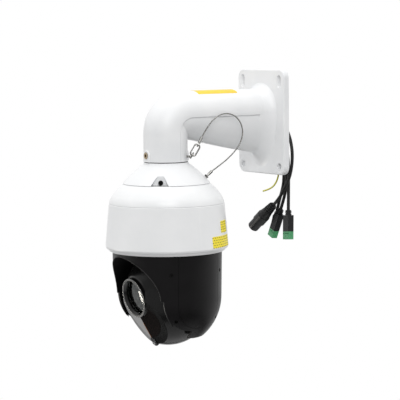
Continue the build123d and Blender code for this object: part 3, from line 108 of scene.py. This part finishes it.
def spread(nodes, links, value, low, high, from_low=0.3, from_high=0.7):
    """value mapped from its usual middle range to low..high."""
    mapper = nodes.new("ShaderNodeMapRange")
    mapper.inputs["From Min"].default_value = from_low
    mapper.inputs["From Max"].default_value = from_high
    mapper.inputs["To Min"].default_value = low
    mapper.inputs["To Max"].default_value = high
    links.new(value, mapper.inputs["Value"])
    return mapper.outputs["Result"]


def blend_colours(nodes, links, value, dark, light):
    """The colour between dark and light that value picks."""
    mix = nodes.new("ShaderNodeMix")
    mix.data_type = "RGBA"
    mix.inputs["A"].default_value = (*dark, 1)
    mix.inputs["B"].default_value = (*light, 1)
    links.new(value, mix.inputs["Factor"])
    return mix.outputs["Result"]


def bump(nodes, links, shader, height, distance):
    """Relief of the given height map, distance deep, on a shader."""
    node = nodes.new("ShaderNodeBump")
    node.inputs["Distance"].default_value = distance
    links.new(height, node.inputs["Height"])
    links.new(node.outputs["Normal"], shader.inputs["Normal"])


COAT_ROUGH = 0.12


def surface(name, dark, light, rough=(0.4, 0.5), patch=30.0, grain=900.0, grain_depth=0.02 * MM,
            metallic=0.0, coat=0.0, specular=0.5):
    """A moulded, painted or metal finish: soft patches of colour and gloss, and a fine grain."""
    material, nodes, links, shader = new_material(name)
    patches = noise(nodes, links, patch, 4.0)
    fine = noise(nodes, links, grain, 2.0)
    links.new(blend_colours(nodes, links, spread(nodes, links, patches, 0, 1), dark, light),
              shader.inputs["Base Color"])
    links.new(spread(nodes, links, patches, rough[0], rough[1]), shader.inputs["Roughness"])
    shader.inputs["Metallic"].default_value = metallic
    shader.inputs["Coat Weight"].default_value = coat
    shader.inputs["Coat Roughness"].default_value = COAT_ROUGH
    shader.inputs["Specular IOR Level"].default_value = specular
    bump(nodes, links, shader, fine, grain_depth)
    return material


SMUDGE_ROUGH = (0.02, 0.05)


def glassy(name, colour, ior=1.5):
    """Clear glass with faint smudges."""
    material, nodes, links, shader = new_material(name)
    smudge = noise(nodes, links, 120.0)
    links.new(spread(nodes, links, smudge, *SMUDGE_ROUGH), shader.inputs["Roughness"])
    shader.inputs["Base Color"].default_value = (*colour, 1)
    shader.inputs["IOR"].default_value = ior
    shader.inputs["Transmission Weight"].default_value = 1.0
    return material


# ---------------------------------------------------------------- materials

WHITE_PAINT = surface("white_paint", dark=(0.80, 0.81, 0.82), light=(0.86, 0.865, 0.87), rough=(0.34, 0.42),
                      patch=25, grain=1500, grain_depth=0.02 * MM)
WHITE_PLASTIC = surface("white_plastic", dark=(0.82, 0.83, 0.835), light=(0.87, 0.875, 0.88),
                        rough=(0.30, 0.38), patch=22, grain=2400, grain_depth=0.01 * MM)
BLACK_PLASTIC = surface("black_plastic", dark=(0.0030, 0.0028, 0.0030), light=(0.0055, 0.0050, 0.0055),
                        rough=(0.34, 0.42), patch=30, grain=2600, grain_depth=0.02 * MM, specular=0.16)
BALL_BLACK = surface("ball_black", dark=(0.003, 0.003, 0.003), light=(0.005, 0.005, 0.005),
                     rough=(0.22, 0.30), patch=30, grain=2600, grain_depth=0.01 * MM, specular=0.3)
LENS_BLACK = surface("lens_black", dark=(0.003, 0.003, 0.003), light=(0.006, 0.006, 0.006),
                     rough=(0.18, 0.28), patch=60, grain=3000, grain_depth=0.01 * MM, specular=0.4)
BOARD = surface("circuit_board", dark=(0.02, 0.13, 0.05), light=(0.03, 0.2, 0.08), rough=(0.3, 0.45),
                patch=200, grain=1500, grain_depth=0.02 * MM)
STEEL = surface("steel", dark=(0.55, 0.55, 0.55), light=(0.68, 0.68, 0.67), rough=(0.18, 0.3), patch=300,
                grain=3000, grain_depth=0.01 * MM, metallic=1.0)
BLACK_STEEL = surface("black_steel", dark=(0.003, 0.003, 0.003), light=(0.006, 0.006, 0.006),
                      rough=(0.4, 0.55), patch=300, grain=3000, grain_depth=0.01 * MM, specular=0.15)
POLISHED = surface("polished_steel", dark=(0.26, 0.255, 0.24), light=(0.42, 0.415, 0.40),
                   rough=(0.06, 0.14), patch=300, grain=2500, grain_depth=0.006 * MM, metallic=1.0)
LIP_BLACK = surface("lip_black", dark=(0.004, 0.004, 0.004), light=(0.007, 0.007, 0.007), rough=(0.42, 0.5),
                    patch=60, grain=2600, grain_depth=0.008 * MM, specular=0.4)
# painted highlight: the edge's grey base colour, lighter than the black lens ring, stands in for the bright
# line where light catches the edge; the coat and high specular are real gloss
RING_EDGE_GLOSS_AND_PAINTED_HIGHLIGHT = surface("ring_edge_gloss_and_painted_highlight", dark=(0.05, 0.05, 0.05), light=(0.08, 0.08, 0.08), rough=(0.2, 0.3),
                    patch=300, grain=2500, grain_depth=0.006 * MM, coat=0.6, specular=0.9)
BRASS = surface("brass", dark=(0.30, 0.23, 0.15), light=(0.44, 0.36, 0.25), rough=(0.25, 0.4), patch=400,
                grain=3000, grain_depth=0.02 * MM, metallic=1.0)
ALUMINIUM = surface("aluminium", dark=(0.6, 0.6, 0.61), light=(0.7, 0.7, 0.71), rough=(0.35, 0.45),
                    patch=80, grain=2500, grain_depth=0.02 * MM, metallic=1.0)
RUBBER = surface("rubber", dark=(0.006, 0.006, 0.006), light=(0.012, 0.012, 0.012), rough=(0.40, 0.55),
                 patch=120, grain=2200, grain_depth=0.03 * MM, specular=0.3)
CONNECTOR = surface("connector_black", dark=(0.006, 0.006, 0.007), light=(0.012, 0.012, 0.013),
                    rough=(0.34, 0.48), patch=120, grain=2600, grain_depth=0.03 * MM, specular=0.3)
GREEN = surface("green_plastic", dark=(0.05, 0.28, 0.11), light=(0.10, 0.38, 0.17), rough=(0.35, 0.45),
                patch=150, grain=2200, grain_depth=0.02 * MM)
LABEL = surface("label_yellow", dark=(0.90, 0.56, 0.02), light=(0.97, 0.66, 0.03), rough=(0.4, 0.5),
                patch=60, grain=1600, grain_depth=0.008 * MM)
SLIP_RING = surface("slip_ring_plastic", dark=(0.03, 0.03, 0.035), light=(0.05, 0.05, 0.055),
                    rough=(0.4, 0.5), patch=60, grain=2200)
WINDOW = surface("window_black", dark=(0.006, 0.004, 0.004), light=(0.010, 0.007, 0.006),
                 rough=(0.04, 0.08), patch=20, grain=600, grain_depth=0.002 * MM, specular=0.35)
GLASS = glassy("lens_glass", (0.72, 0.76, 0.74), ior=1.25)
ELEMENT = surface("lens_element", dark=(0.02, 0.026, 0.024), light=(0.035, 0.04, 0.034), rough=(0.03, 0.07),
                  patch=40, grain=500, grain_depth=0.001 * MM, specular=0.3)
AMBER = surface("amber_edge", dark=(0.20, 0.075, 0.02), light=(0.32, 0.13, 0.04), rough=(0.25, 0.4),
                patch=400, grain=2000, grain_depth=0.005 * MM)
FILTER = glassy("filter_glass", (0.55, 0.85, 0.8))
STRIPE_SCALE, STRIPE_WAVER = 260.0, 0.6
WIRE_YELLOW, WIRE_GREEN = (0.86, 0.66, 0.02), (0.25, 0.5, 0.06)


def earth_insulation():
    """Yellow insulation with green stripes."""
    material, nodes, links, shader = new_material("earth_yellow_green")
    place = nodes.new("ShaderNodeTexCoord")
    wave = nodes.new("ShaderNodeTexWave")
    wave.inputs["Scale"].default_value = STRIPE_SCALE
    wave.inputs["Distortion"].default_value = STRIPE_WAVER
    wave.bands_direction = "DIAGONAL"
    links.new(place.outputs["Object"], wave.inputs["Vector"])
    share = spread(nodes, links, wave.outputs["Fac"], 0, 1, from_low=0.72, from_high=0.78)
    links.new(blend_colours(nodes, links, share, WIRE_YELLOW, WIRE_GREEN), shader.inputs["Base Color"])
    shader.inputs["Roughness"].default_value = 0.35
    bump(nodes, links, shader, noise(nodes, links, 2600), 0.01 * MM)
    return material


EARTH = earth_insulation()
DASH_L, ROW_H, DASH_GAP = 5.0 * MM, 3.2 * MM, 1.15 * MM
DASH_DARK, DASH_PALE, FILM_YELLOW = (0.13, 0.11, 0.01, 1), (0.20, 0.17, 0.02, 1), (0.96, 0.79, 0.02, 1)


def printed_label(name, along, up):
    """Yellow film with rows of plain dark dashes in place of print."""
    material, nodes, links, shader = new_material(name)
    place = nodes.new("ShaderNodeTexCoord")
    combined = nodes.new("ShaderNodeCombineXYZ")
    for axis, direction in (("X", along), ("Y", up)):
        dot = nodes.new("ShaderNodeVectorMath")
        dot.operation = "DOT_PRODUCT"
        dot.inputs[1].default_value = direction
        links.new(place.outputs["Object"], dot.inputs[0])
        links.new(dot.outputs["Value"], combined.inputs[axis])
    rows = nodes.new("ShaderNodeTexBrick")
    rows.inputs["Scale"].default_value = 1.0
    rows.inputs["Brick Width"].default_value = DASH_L
    rows.inputs["Row Height"].default_value = ROW_H
    rows.inputs["Mortar Size"].default_value = DASH_GAP
    rows.inputs["Mortar Smooth"].default_value = 0.0
    rows.inputs["Color1"].default_value = DASH_DARK
    rows.inputs["Color2"].default_value = DASH_PALE
    rows.inputs["Mortar"].default_value = FILM_YELLOW
    links.new(combined.outputs["Vector"], rows.inputs["Vector"])
    links.new(rows.outputs["Color"], shader.inputs["Base Color"])
    links.new(spread(nodes, links, noise(nodes, links, 60.0), 0.38, 0.5), shader.inputs["Roughness"])
    bump(nodes, links, shader, noise(nodes, links, 1600.0), 0.008 * MM)
    return material


LABEL_SIDE = radians(124.0)
SKIRT_LABEL = printed_label("skirt_label", (cos(LABEL_SIDE), sin(LABEL_SIDE), 0), (0, 0, 1))
NODE_MATERIALS = {
    "head_front_shell": BALL_BLACK,
    "head_rear_shell": BALL_BLACK,
    "zoom_group": ELEMENT,
    "focus_group": ELEMENT,
    "skirt_labels": SKIRT_LABEL,
    "rope_ferrules": POLISHED,
    "rope_anchor": POLISHED,
}

SLOT_MATERIALS = {
    "white_paint": WHITE_PAINT,
    "white_plastic": WHITE_PLASTIC,
    "black_plastic": BLACK_PLASTIC,
    "lens_black": LENS_BLACK,
    "window_black": WINDOW,
    "lens_glass": GLASS,
    "steel": STEEL,
    "black_steel": BLACK_STEEL,
    "brass": BRASS,
    "rubber": RUBBER,
    "connector_black": CONNECTOR,
    "green_plastic": GREEN,
    "earth_yellow_green": EARTH,
    "label_yellow": LABEL,
    "aluminium": ALUMINIUM,
    "motor_metal": STEEL,
    "circuit_board": BOARD,
    "slip_ring_plastic": SLIP_RING,
    "filter_glass": FILTER,
}


def paint_cad_nodes():
    """Every CAD node takes the finish of its slot in the record, or one of its own."""
    slots = {s["node"]: s["material_slot"] for s in frame["record"]["subparts"]}
    for name, node in NODES.items():
        finish = NODE_MATERIALS.get(name, SLOT_MATERIALS[slots[name]])
        if not node.material_slots:
            node.data.materials.append(finish)
        for material_slot in node.material_slots:
            material_slot.material = finish


paint_cad_nodes()


# ---------------------------------------------------------------- mesh helpers

def add_mesh(name, verts, faces, material, body, slot):
    """A smooth-shaded piece that rides on a body."""
    mesh = bpy.data.meshes.new(name)
    mesh.from_pydata([tuple(v) for v in verts], [], faces)
    mesh.validate()
    mesh.materials.append(material)
    mesh.polygons.foreach_set("use_smooth", [True] * len(mesh.polygons))
    piece = bpy.data.objects.new(name, mesh)
    SCENE.collection.objects.link(piece)
    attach(piece, body)
    return piece


def nurbs(name, points, radius=0.0):
    """A smooth spline with the points as its control points, in millimetres."""
    data = bpy.data.curves.new(name, "CURVE")
    data.dimensions = "3D"
    spline = data.splines.new("NURBS")
    spline.points.add(len(points) - 1)
    for control, p in zip(spline.points, points):
        control.co = (p[0] * MM, p[1] * MM, p[2] * MM, 1)
    spline.order_u = 3
    spline.use_endpoint_u = True
    spline.resolution_u = 12
    data.bevel_depth = radius
    data.bevel_resolution = 5
    data.use_fill_caps = radius > 0
    piece = bpy.data.objects.new(name, data)
    SCENE.collection.objects.link(piece)
    return piece


def spline_path(points):
    """Points along the smooth spline through a route."""
    probe = nurbs("probe", points)
    bpy.context.view_layer.update()
    mesh = bpy.data.meshes.new_from_object(probe)
    path = [v.co.copy() for v in mesh.vertices]
    bpy.data.objects.remove(probe)
    return path


def path_length(path):
    return sum((b - a).length for a, b in zip(path, path[1:]))


def resample(path, step):
    """Points an even step apart along a path, ends kept."""
    total = path_length(path)
    count = max(2, round(total / step))
    out, i, run = [path[0].copy()], 0, 0.0
    for k in range(1, count):
        goal = total * k / count
        while run + (path[i + 1] - path[i]).length < goal:
            run += (path[i + 1] - path[i]).length
            i += 1
        piece = path[i + 1] - path[i]
        out.append(path[i] + piece * ((goal - run) / piece.length))
    return out + [path[-1].copy()]


def frames_along(path):
    """A tangent and two cross directions at each point, turned as little as possible."""
    out = []
    side = None
    for i, p in enumerate(path):
        tangent = (path[min(i + 1, len(path) - 1)] - path[max(i - 1, 0)]).normalized()
        if side is None:
            side = tangent.orthogonal().normalized()
        side = (side - tangent * side.dot(tangent)).normalized()
        out.append((p, tangent, side, tangent.cross(side)))
    return out


def tube(centres, radius, sides=8, closed=False):
    """Rings of a round tube along centres."""
    frames = frames_along(centres)
    verts = []
    for p, _, u, v in frames:
        verts += [p + u * radius * cos(2 * pi * k / sides) + v * radius * sin(2 * pi * k / sides)
                  for k in range(sides)]
    rings = len(centres)
    faces = []
    for i in range(rings if closed else rings - 1):
        a, b = i * sides, ((i + 1) % rings) * sides
        faces += [(a + k, a + (k + 1) % sides, b + (k + 1) % sides, b + k) for k in range(sides)]
    if not closed:
        faces.append(tuple(reversed(range(sides))))
        faces.append(tuple((rings - 1) * sides + k for k in range(sides)))
    return verts, faces


def circle(middle, first, second, radius, steps):
    """Points round a circle; first and second are its two cross directions."""
    angles = [2 * pi * k / steps for k in range(steps)]
    return [middle + (first * cos(angle) + second * sin(angle)) * radius for angle in angles]


def joined(parts):
    """Several vertex and face lists as one."""
    verts, faces = [], []
    for v, f in parts:
        faces += [tuple(i + len(verts) for i in face) for face in f]
        verts += v
    return verts, faces


# ---------------------------------------------------------------- cords

ROPE_D, PIGTAIL_D, WIRE_D = 1.8 * MM, 4.4 * MM, 2.2 * MM
ROPE_ROUTE = [
    (32.0, -126.0, -16.0),
    (34.0, -119.5, -4.0),
    (36.0, -110.0, 7.5),
    (37.0, -97.0, 15.0),
    (37.5, -80.5, 14.0),
    (37.5, -67.5, 4.0),
    (37.0, -62.5, -12.0),
    (36.5, -68.0, -28.0),
    (35.0, -80.0, -41.0),
    (33.0, -95.0, -52.5),
    (31.5, -110.0, -61.5),
]
CABLE_ROUTES = {
    "network": [
        (10.5, -18.0, 13.0),
        (16.0, -8.5, 11.5),
        (25.5, 1.0, 6.5),
        (36.0, 6.5, -4.5),
        (45.0, 8.5, -20.0),
        (50.5, 8.5, -38.0),
        (51.5, 7.5, -56.0),
        (49.5, 5.0, -74.0),
        (43.0, 1.0, -89.0),
        (33.5, -2.0, -105.0),
        (21.0, -3.0, -114.5),
    ],
    "power": [
        (-5.0, -18.0, 13.0),
        (-1.2, -8.5, 11.0),
        (6.0, 1.0, 4.0),
        (16.0, 7.0, -9.5),
        (24.0, 8.5, -28.0),
        (28.5, 8.5, -48.0),
        (31.0, 8.5, -68.0),
        (29.0, 9.0, -86.0),
        (21.0, 10.0, -101.0),
        (12.5, 12.0, -114.0),
        (6.5, 13.0, -127.0),
    ],
    "alarm": [
        (0.3, -18.0, 13.0),
        (4.5, -8.5, 10.5),
        (13.0, 1.0, 3.5),
        (22.5, 7.0, -9.5),
        (29.5, 8.5, -27.0),
        (34.0, 8.5, -47.0),
        (36.5, 8.5, -67.0),
        (36.0, 8.5, -86.0),
        (32.5, 8.0, -103.0),
        (25.5, 6.5, -120.0),
    ],
    "audio": [
        (5.5, -18.0, 13.0),
        (10.5, -8.5, 11.0),
        (19.5, 1.0, 5.0),
        (29.0, 7.0, -7.5),
        (36.0, 8.5, -25.0),
        (40.0, 8.5, -45.0),
        (41.8, 8.5, -65.0),
        (41.3, 8.5, -85.0),
        (42.3, 7.5, -103.0),
        (44.0, 6.0, -120.0),
    ],
}
EARTH_ROUTE = [
    (-2.0, -18.0, 6.5),
    (0.5, -8.5, 3.0),
    (6.0, 0.5, -7.0),
    (13.0, 5.0, -22.0),
    (19.5, 6.0, -40.0),
    (24.5, 5.0, -58.0),
    (25.0, 3.5, -75.0),
    (18.0, 2.5, -87.0),
    (5.0, 2.0, -94.0),
    (-10.5, 2.5, -97.5),
]
STRANDS, STRAND_R, STRAND_PITCH = 6, 0.3 * MM, 9.0 * MM
CORE_THICKER, STEPS_PER_PITCH, STRAND_SIDES = 1.05, 12, 6


def wire_rope(name, route, node):
    """A steel rope of six strands laid round a core, along the route's spline."""
    path = resample(spline_path(route), STRAND_PITCH / STEPS_PER_PITCH)
    frames = frames_along(path)
    parts = [tube(path, STRAND_R * CORE_THICKER, STRAND_SIDES)]
    step = path_length(path) / (len(path) - 1)
    for strand in range(STRANDS):
        centres = []
        for i, (p, _, u, v) in enumerate(frames):
            angle = 2 * pi * (strand / STRANDS + i * step / STRAND_PITCH)
            centres.append(p + (u * cos(angle) + v * sin(angle)) * (ROPE_D / 2 - STRAND_R))
        parts.append(tube(centres, STRAND_R, STRAND_SIDES))
    verts, faces = joined(parts)
    piece = add_mesh(name, verts, faces, POLISHED, "bracket", "steel")
    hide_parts(node)
    return piece, path


def round_cable(name, route, diameter, material, node):
    """A plain round cable along the route's spline."""
    piece = nurbs(name, route, diameter / 2)
    piece.data.materials.append(material)
    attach(piece, "bracket")
    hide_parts(node)
    return piece


def add_cords():
    """The safety rope, the four pigtails and the earth wire."""
    rope, path = wire_rope("wire_rope", ROPE_ROUTE, "safety_rope")
    for name, route in CABLE_ROUTES.items():
        cable = round_cable(f"pigtail_{name}", route, PIGTAIL_D, RUBBER, f"cable_{name}")
        path_length(spline_path(route))
    wire = round_cable("earth_lead", EARTH_ROUTE, WIRE_D, EARTH, "earth_wire")
    path_length(spline_path(EARTH_ROUTE))


add_cords()


# ---------------------------------------------------------------- snap hook and safety eye

HOOK_MIDDLE = Vector((29.5, -135.0, -32.5)) * MM
HOOK_ALONG = Vector((0.18, 0.49, 0.853)).normalized()
HOOK_FACE = Vector((0.84, -0.53, 0.13))
HOOK_FACE = (HOOK_FACE - HOOK_ALONG * HOOK_FACE.dot(HOOK_ALONG)).normalized()
HOOK_ACROSS = HOOK_FACE.cross(HOOK_ALONG)
HOOK_L, HOOK_W, HOOK_WIRE_R = 19.0 * MM, 9.6 * MM, 1.1 * MM
GATE_L, GATE_GAP = 8.0 * MM, 0.4 * MM
GATE_THINNER, WIRE_SIDES = 0.75, 12
EYE_DROP, EYE_RING_R, EYE_WIRE_R = 8.4 * MM, 3.8 * MM, 1.1 * MM
EYE_STEPS = 28
# the shank stands square to the arm's neck, above the neck's lower edge
DOME_AXIS_Y, RIM_Z, NECK_H = -162.0, -165.0, 117.5
SHANK_AZIMUTH, SHANK_START_R, SHANK_RISE = radians(130), 26.8, 6.5
SHANK_L, SHANK_R, SHANK_SIDES = 6.5 * MM, 1.6 * MM, 14


def hook_point(along, across):
    """A place on the hook's own plane."""
    return HOOK_MIDDLE + HOOK_ALONG * along + HOOK_ACROSS * across


def slot_loop(length, width, start, stop, steps=20):
    """Points round the middle line of a slot-shaped loop, from one end of its opening to the other."""
    half, radius = (length - width) / 2, width / 2
    points = [hook_point(start, radius)]
    points += [hook_point(half + radius * sin(pi * k / steps), radius * cos(pi * k / steps))
               for k in range(steps + 1)]
    points += [hook_point(-half - radius * sin(pi * k / steps), -radius * cos(pi * k / steps))
               for k in range(steps + 1)]
    return points + [hook_point(stop, radius)]


def add_snap_hook():
    """The hook's bent wire with its opening, and the gate bar with its pivot pin."""
    length, width = HOOK_L - 2 * HOOK_WIRE_R, HOOK_W - 2 * HOOK_WIRE_R
    opening = GATE_L / 2 + GATE_GAP
    wire = slot_loop(length, width, opening, -opening)
    hook = add_mesh("hook_wire", *tube(wire, HOOK_WIRE_R, WIRE_SIDES), POLISHED, "bracket", "steel")
    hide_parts("snap_hook")
    bar = [hook_point(-GATE_L / 2 + GATE_L * k / 6, width / 2) for k in range(7)]
    pivot_middle = hook_point(-GATE_L / 2 + HOOK_WIRE_R, width / 2)
    pivot = [pivot_middle + HOOK_FACE * HOOK_WIRE_R * k for k in (-1, 0, 1)]
    parts = joined([tube(bar, HOOK_WIRE_R * GATE_THINNER, WIRE_SIDES), tube(pivot, HOOK_WIRE_R, WIRE_SIDES)])
    gate = add_mesh("hook_gate_bar", *parts, POLISHED, "hook_gate", "steel")
    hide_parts("snap_hook_gate")


def add_safety_eye():
    """A ring on a short plain shank."""
    middle = HOOK_MIDDLE - HOOK_ALONG * EYE_DROP
    normal = HOOK_ALONG.cross(HOOK_FACE)
    side = normal.cross(HOOK_ALONG)
    ring = circle(middle, HOOK_ALONG, side, EYE_RING_R, EYE_STEPS)
    towards = Vector((sin(SHANK_AZIMUTH), -cos(SHANK_AZIMUTH), 0))
    foot = (Vector((0, DOME_AXIS_Y, RIM_Z + NECK_H + SHANK_RISE)) + towards * SHANK_START_R) * MM
    shank = [foot + towards * SHANK_L * k / 4 for k in range(5)]
    parts = joined([tube(ring, EYE_WIRE_R, WIRE_SIDES, closed=True), tube(shank, SHANK_R, SHANK_SIDES)])
    eye = add_mesh("eye_bolt", *parts, POLISHED, "bracket", "steel")
    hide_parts("safety_eye")


add_snap_hook()
add_safety_eye()


# ---------------------------------------------------------------- head trim

HEAD_MIDDLE = Vector((0, -0.162, -0.2345))
TILT_DOWN = radians(12)
FORWARD = Vector((0, -cos(TILT_DOWN), -sin(TILT_DOWN)))
UPWARD = Vector((0, -sin(TILT_DOWN), cos(TILT_DOWN)))
FACE_DROP, FACE_OUT = radians(18.5), 46.8 * MM
FACE_NORMAL = FORWARD * cos(FACE_DROP) - UPWARD * sin(FACE_DROP)
FACE_UP = UPWARD * cos(FACE_DROP) + FORWARD * sin(FACE_DROP)
WINDOW_TIP, STRIP_TOP, WINDOW_PROUD = -28.0 * MM, -3.0 * MM, 0.3 * MM
STRIP_R, STRIP_SUNK, STRIP_STEPS = 0.45 * MM, 0.1 * MM, 8
LENS_H, LENS_FRONT, RING_R = 18.5 * MM, 51.0 * MM, 26.3 * MM
RING_EDGE_R, RING_STEPS = 0.45 * MM, 72


def add_crease_strip():
    """Amber edge where the two facets of the window meet."""
    foot = HEAD_MIDDLE + FACE_NORMAL * (FACE_OUT + WINDOW_PROUD - STRIP_SUNK)
    points = [foot + FACE_UP * (STRIP_TOP + (WINDOW_TIP - STRIP_TOP) * k / STRIP_STEPS)
              for k in range(STRIP_STEPS + 1)]
    add_mesh("window_crease", *tube(points, STRIP_R), AMBER, "head", "window_black")


def add_ring_highlight_edge():
    """Front edge of the lens ring: a real glossy coat, and a grey colour lighter than the black ring that is
    a painted highlight.
    """
    middle = HEAD_MIDDLE + UPWARD * LENS_H + FORWARD * (LENS_FRONT - RING_EDGE_R)
    points = circle(middle, Vector((1, 0, 0)), UPWARD, RING_R, RING_STEPS)
    edge = tube(points, RING_EDGE_R, closed=True)
    add_mesh("lens_ring_painted_highlight_edge", *edge, RING_EDGE_GLOSS_AND_PAINTED_HIGHLIGHT, "head", "lens_black")


add_crease_strip()
add_ring_highlight_edge()


# ---------------------------------------------------------------- lip round the ears' front opening

BODY_MIDDLE = Vector((0, -0.162, -0.2265))
# the body's radius grows by BODY_FLARE metres per metre of height above its middle
BODY_R, BODY_FLARE, OPENING_R = 72.0 * MM, 0.021, 56.0 * MM
# the ears' lower edge in the side view: depth and height from the middle of the body's sphere
LOWER_EDGE = (Vector((-42.5, 0)) * MM, Vector((-29.0, -33.5)) * MM, Vector((9.0, -54.0)) * MM)
EAR_WALL_DEPTH = 28.5 * MM      # nearer the axis than this, the ears' lower edge is cut back
LIP_R, OPENING_STEPS, LOWER_STEPS = 0.55 * MM, 24, 32


def arc_through(first, middle, last, steps):
    """Points on the circular arc through three points of a plane."""
    a, b = middle - first, last - first
    turn = 2 * (a.x * b.y - a.y * b.x)
    centre = first + Vector((b.y * a.length_squared - a.y * b.length_squared,
                             a.x * b.length_squared - b.x * a.length_squared)) / turn
    start, end = first - centre, last - centre
    sweep = start.angle_signed(end)
    points = []
    for k in range(steps + 1):
        c, s = cos(-sweep * k / steps), sin(-sweep * k / steps)
        points.append(centre + Vector((start.x * c - start.y * s, start.x * s + start.y * c)))
    return points


def add_opening_lips():
    """A thin bead along each ear's edge: over the round opening, then down the ear's front."""
    lower = [p for p in arc_through(*LOWER_EDGE, LOWER_STEPS) if p.x < -EAR_WALL_DEPTH]
    for side, name in ((-1, "opening_lip_left"), (1, "opening_lip_right")):
        points = []
        for k in range(OPENING_STEPS + 1):
            angle = pi / 2 * (1 - k / OPENING_STEPS)
            across, rise = OPENING_R * cos(angle), OPENING_R * sin(angle)
            radius = BODY_R + BODY_FLARE * rise
            points.append(BODY_MIDDLE + Vector((side * across, -sqrt(radius**2 - across**2), rise)))
        for depth, height in lower:
            across = sqrt(BODY_R**2 - depth**2 - height**2)
            points.append(BODY_MIDDLE + Vector((side * across, depth, height)))
        add_mesh(name, *tube(points, LIP_R), LIP_BLACK, "turning_body", "black_plastic")


add_opening_lips()


# ---------------------------------------------------------------- floor and light

FLOOR_DROP, FLOOR_SIZE = 1.1, 1.8
FLOOR_DARK, FLOOR_LIGHT = (0.80, 0.80, 0.80), (0.84, 0.84, 0.84)
MIDDLE = (CAD_LOW + CAD_HIGH) / 2
CARD_AIM = (0, -0.21, -0.22)
WARM_WHITE = (1.0, 0.95, 0.86)


def add_floor():
    """A pale floor below the wall arm."""
    bpy.ops.mesh.primitive_plane_add(size=FLOOR_SIZE, location=(0, 0, CAD_LOW.z - FLOOR_DROP))
    floor = bpy.context.object
    floor.name = "floor"
    material, nodes, links, shader = new_material("floor_white")
    patches = noise(nodes, links, 2.0)
    links.new(blend_colours(nodes, links, patches, FLOOR_DARK, FLOOR_LIGHT), shader.inputs["Base Color"])
    shader.inputs["Roughness"].default_value = 0.9
    floor.data.materials.append(material)


def area_light(name, place, aim, size, power, colour=(1, 1, 1)):
    """A rectangular lamp at a place, facing its aim."""
    data = bpy.data.lights.new(name, "AREA")
    data.shape = "RECTANGLE"
    data.size, data.size_y = size
    data.energy = power
    data.color = colour
    light = bpy.data.objects.new(name, data)
    SCENE.collection.objects.link(light)
    light.location = place
    light.rotation_mode = "QUATERNION"
    light.rotation_quaternion = (Vector(aim) - Vector(place)).to_track_quat("-Z", "Y")
    return light


def add_world(back_light, front_light, low_light):
    """A white studio backdrop behind the object; the room in front of it and far below is dimmer."""
    world = bpy.data.worlds.new("studio")
    world.use_nodes = True
    nodes, links = world.node_tree.nodes, world.node_tree.links
    place = nodes.new("ShaderNodeTexCoord")
    facing = nodes.new("ShaderNodeVectorMath")
    facing.operation = "DOT_PRODUCT"
    facing.inputs[1].default_value = (sin(AZIMUTH), -cos(AZIMUTH), 0)
    links.new(place.outputs["Generated"], facing.inputs[0])
    parts = nodes.new("ShaderNodeSeparateXYZ")
    links.new(place.outputs["Generated"], parts.inputs["Vector"])
    front = spread(nodes, links, facing.outputs["Value"], back_light, front_light,
                   from_low=-0.1, from_high=0.5)
    below = spread(nodes, links, parts.outputs["Z"], low_light, 1.0, from_low=-0.6, from_high=-0.4)
    product = nodes.new("ShaderNodeMath")
    product.operation = "MULTIPLY"
    links.new(front, product.inputs[0])
    links.new(below, product.inputs[1])
    nodes["Background"].inputs["Color"].default_value = (1, 1, 1, 1)
    links.new(product.outputs["Value"], nodes["Background"].inputs["Strength"])
    SCENE.world = world


add_floor()
add_world(back_light=1.0, front_light=0.54, low_light=0.06)
area_light("key", place=(1.7, -1.1, 1.2), aim=MIDDLE, size=(1.2, 1.2), power=21)
area_light("left", place=(-0.6, -2.0, 0.5), aim=MIDDLE, size=(0.9, 1.2), power=1.5)
# a small card placed for its reflection in the lens; it lights no diffuse colour
lens_card = area_light("lens_card", place=(-0.665, -0.766, -0.575), aim=CARD_AIM, size=(0.13, 0.2),
                       power=2.0, colour=WARM_WHITE)
lens_card.visible_diffuse = False
area_light("top", place=(0.1, -0.3, 1.5), aim=MIDDLE, size=(1.4, 1.4), power=7)
SCENE.view_settings.view_transform = "Standard"
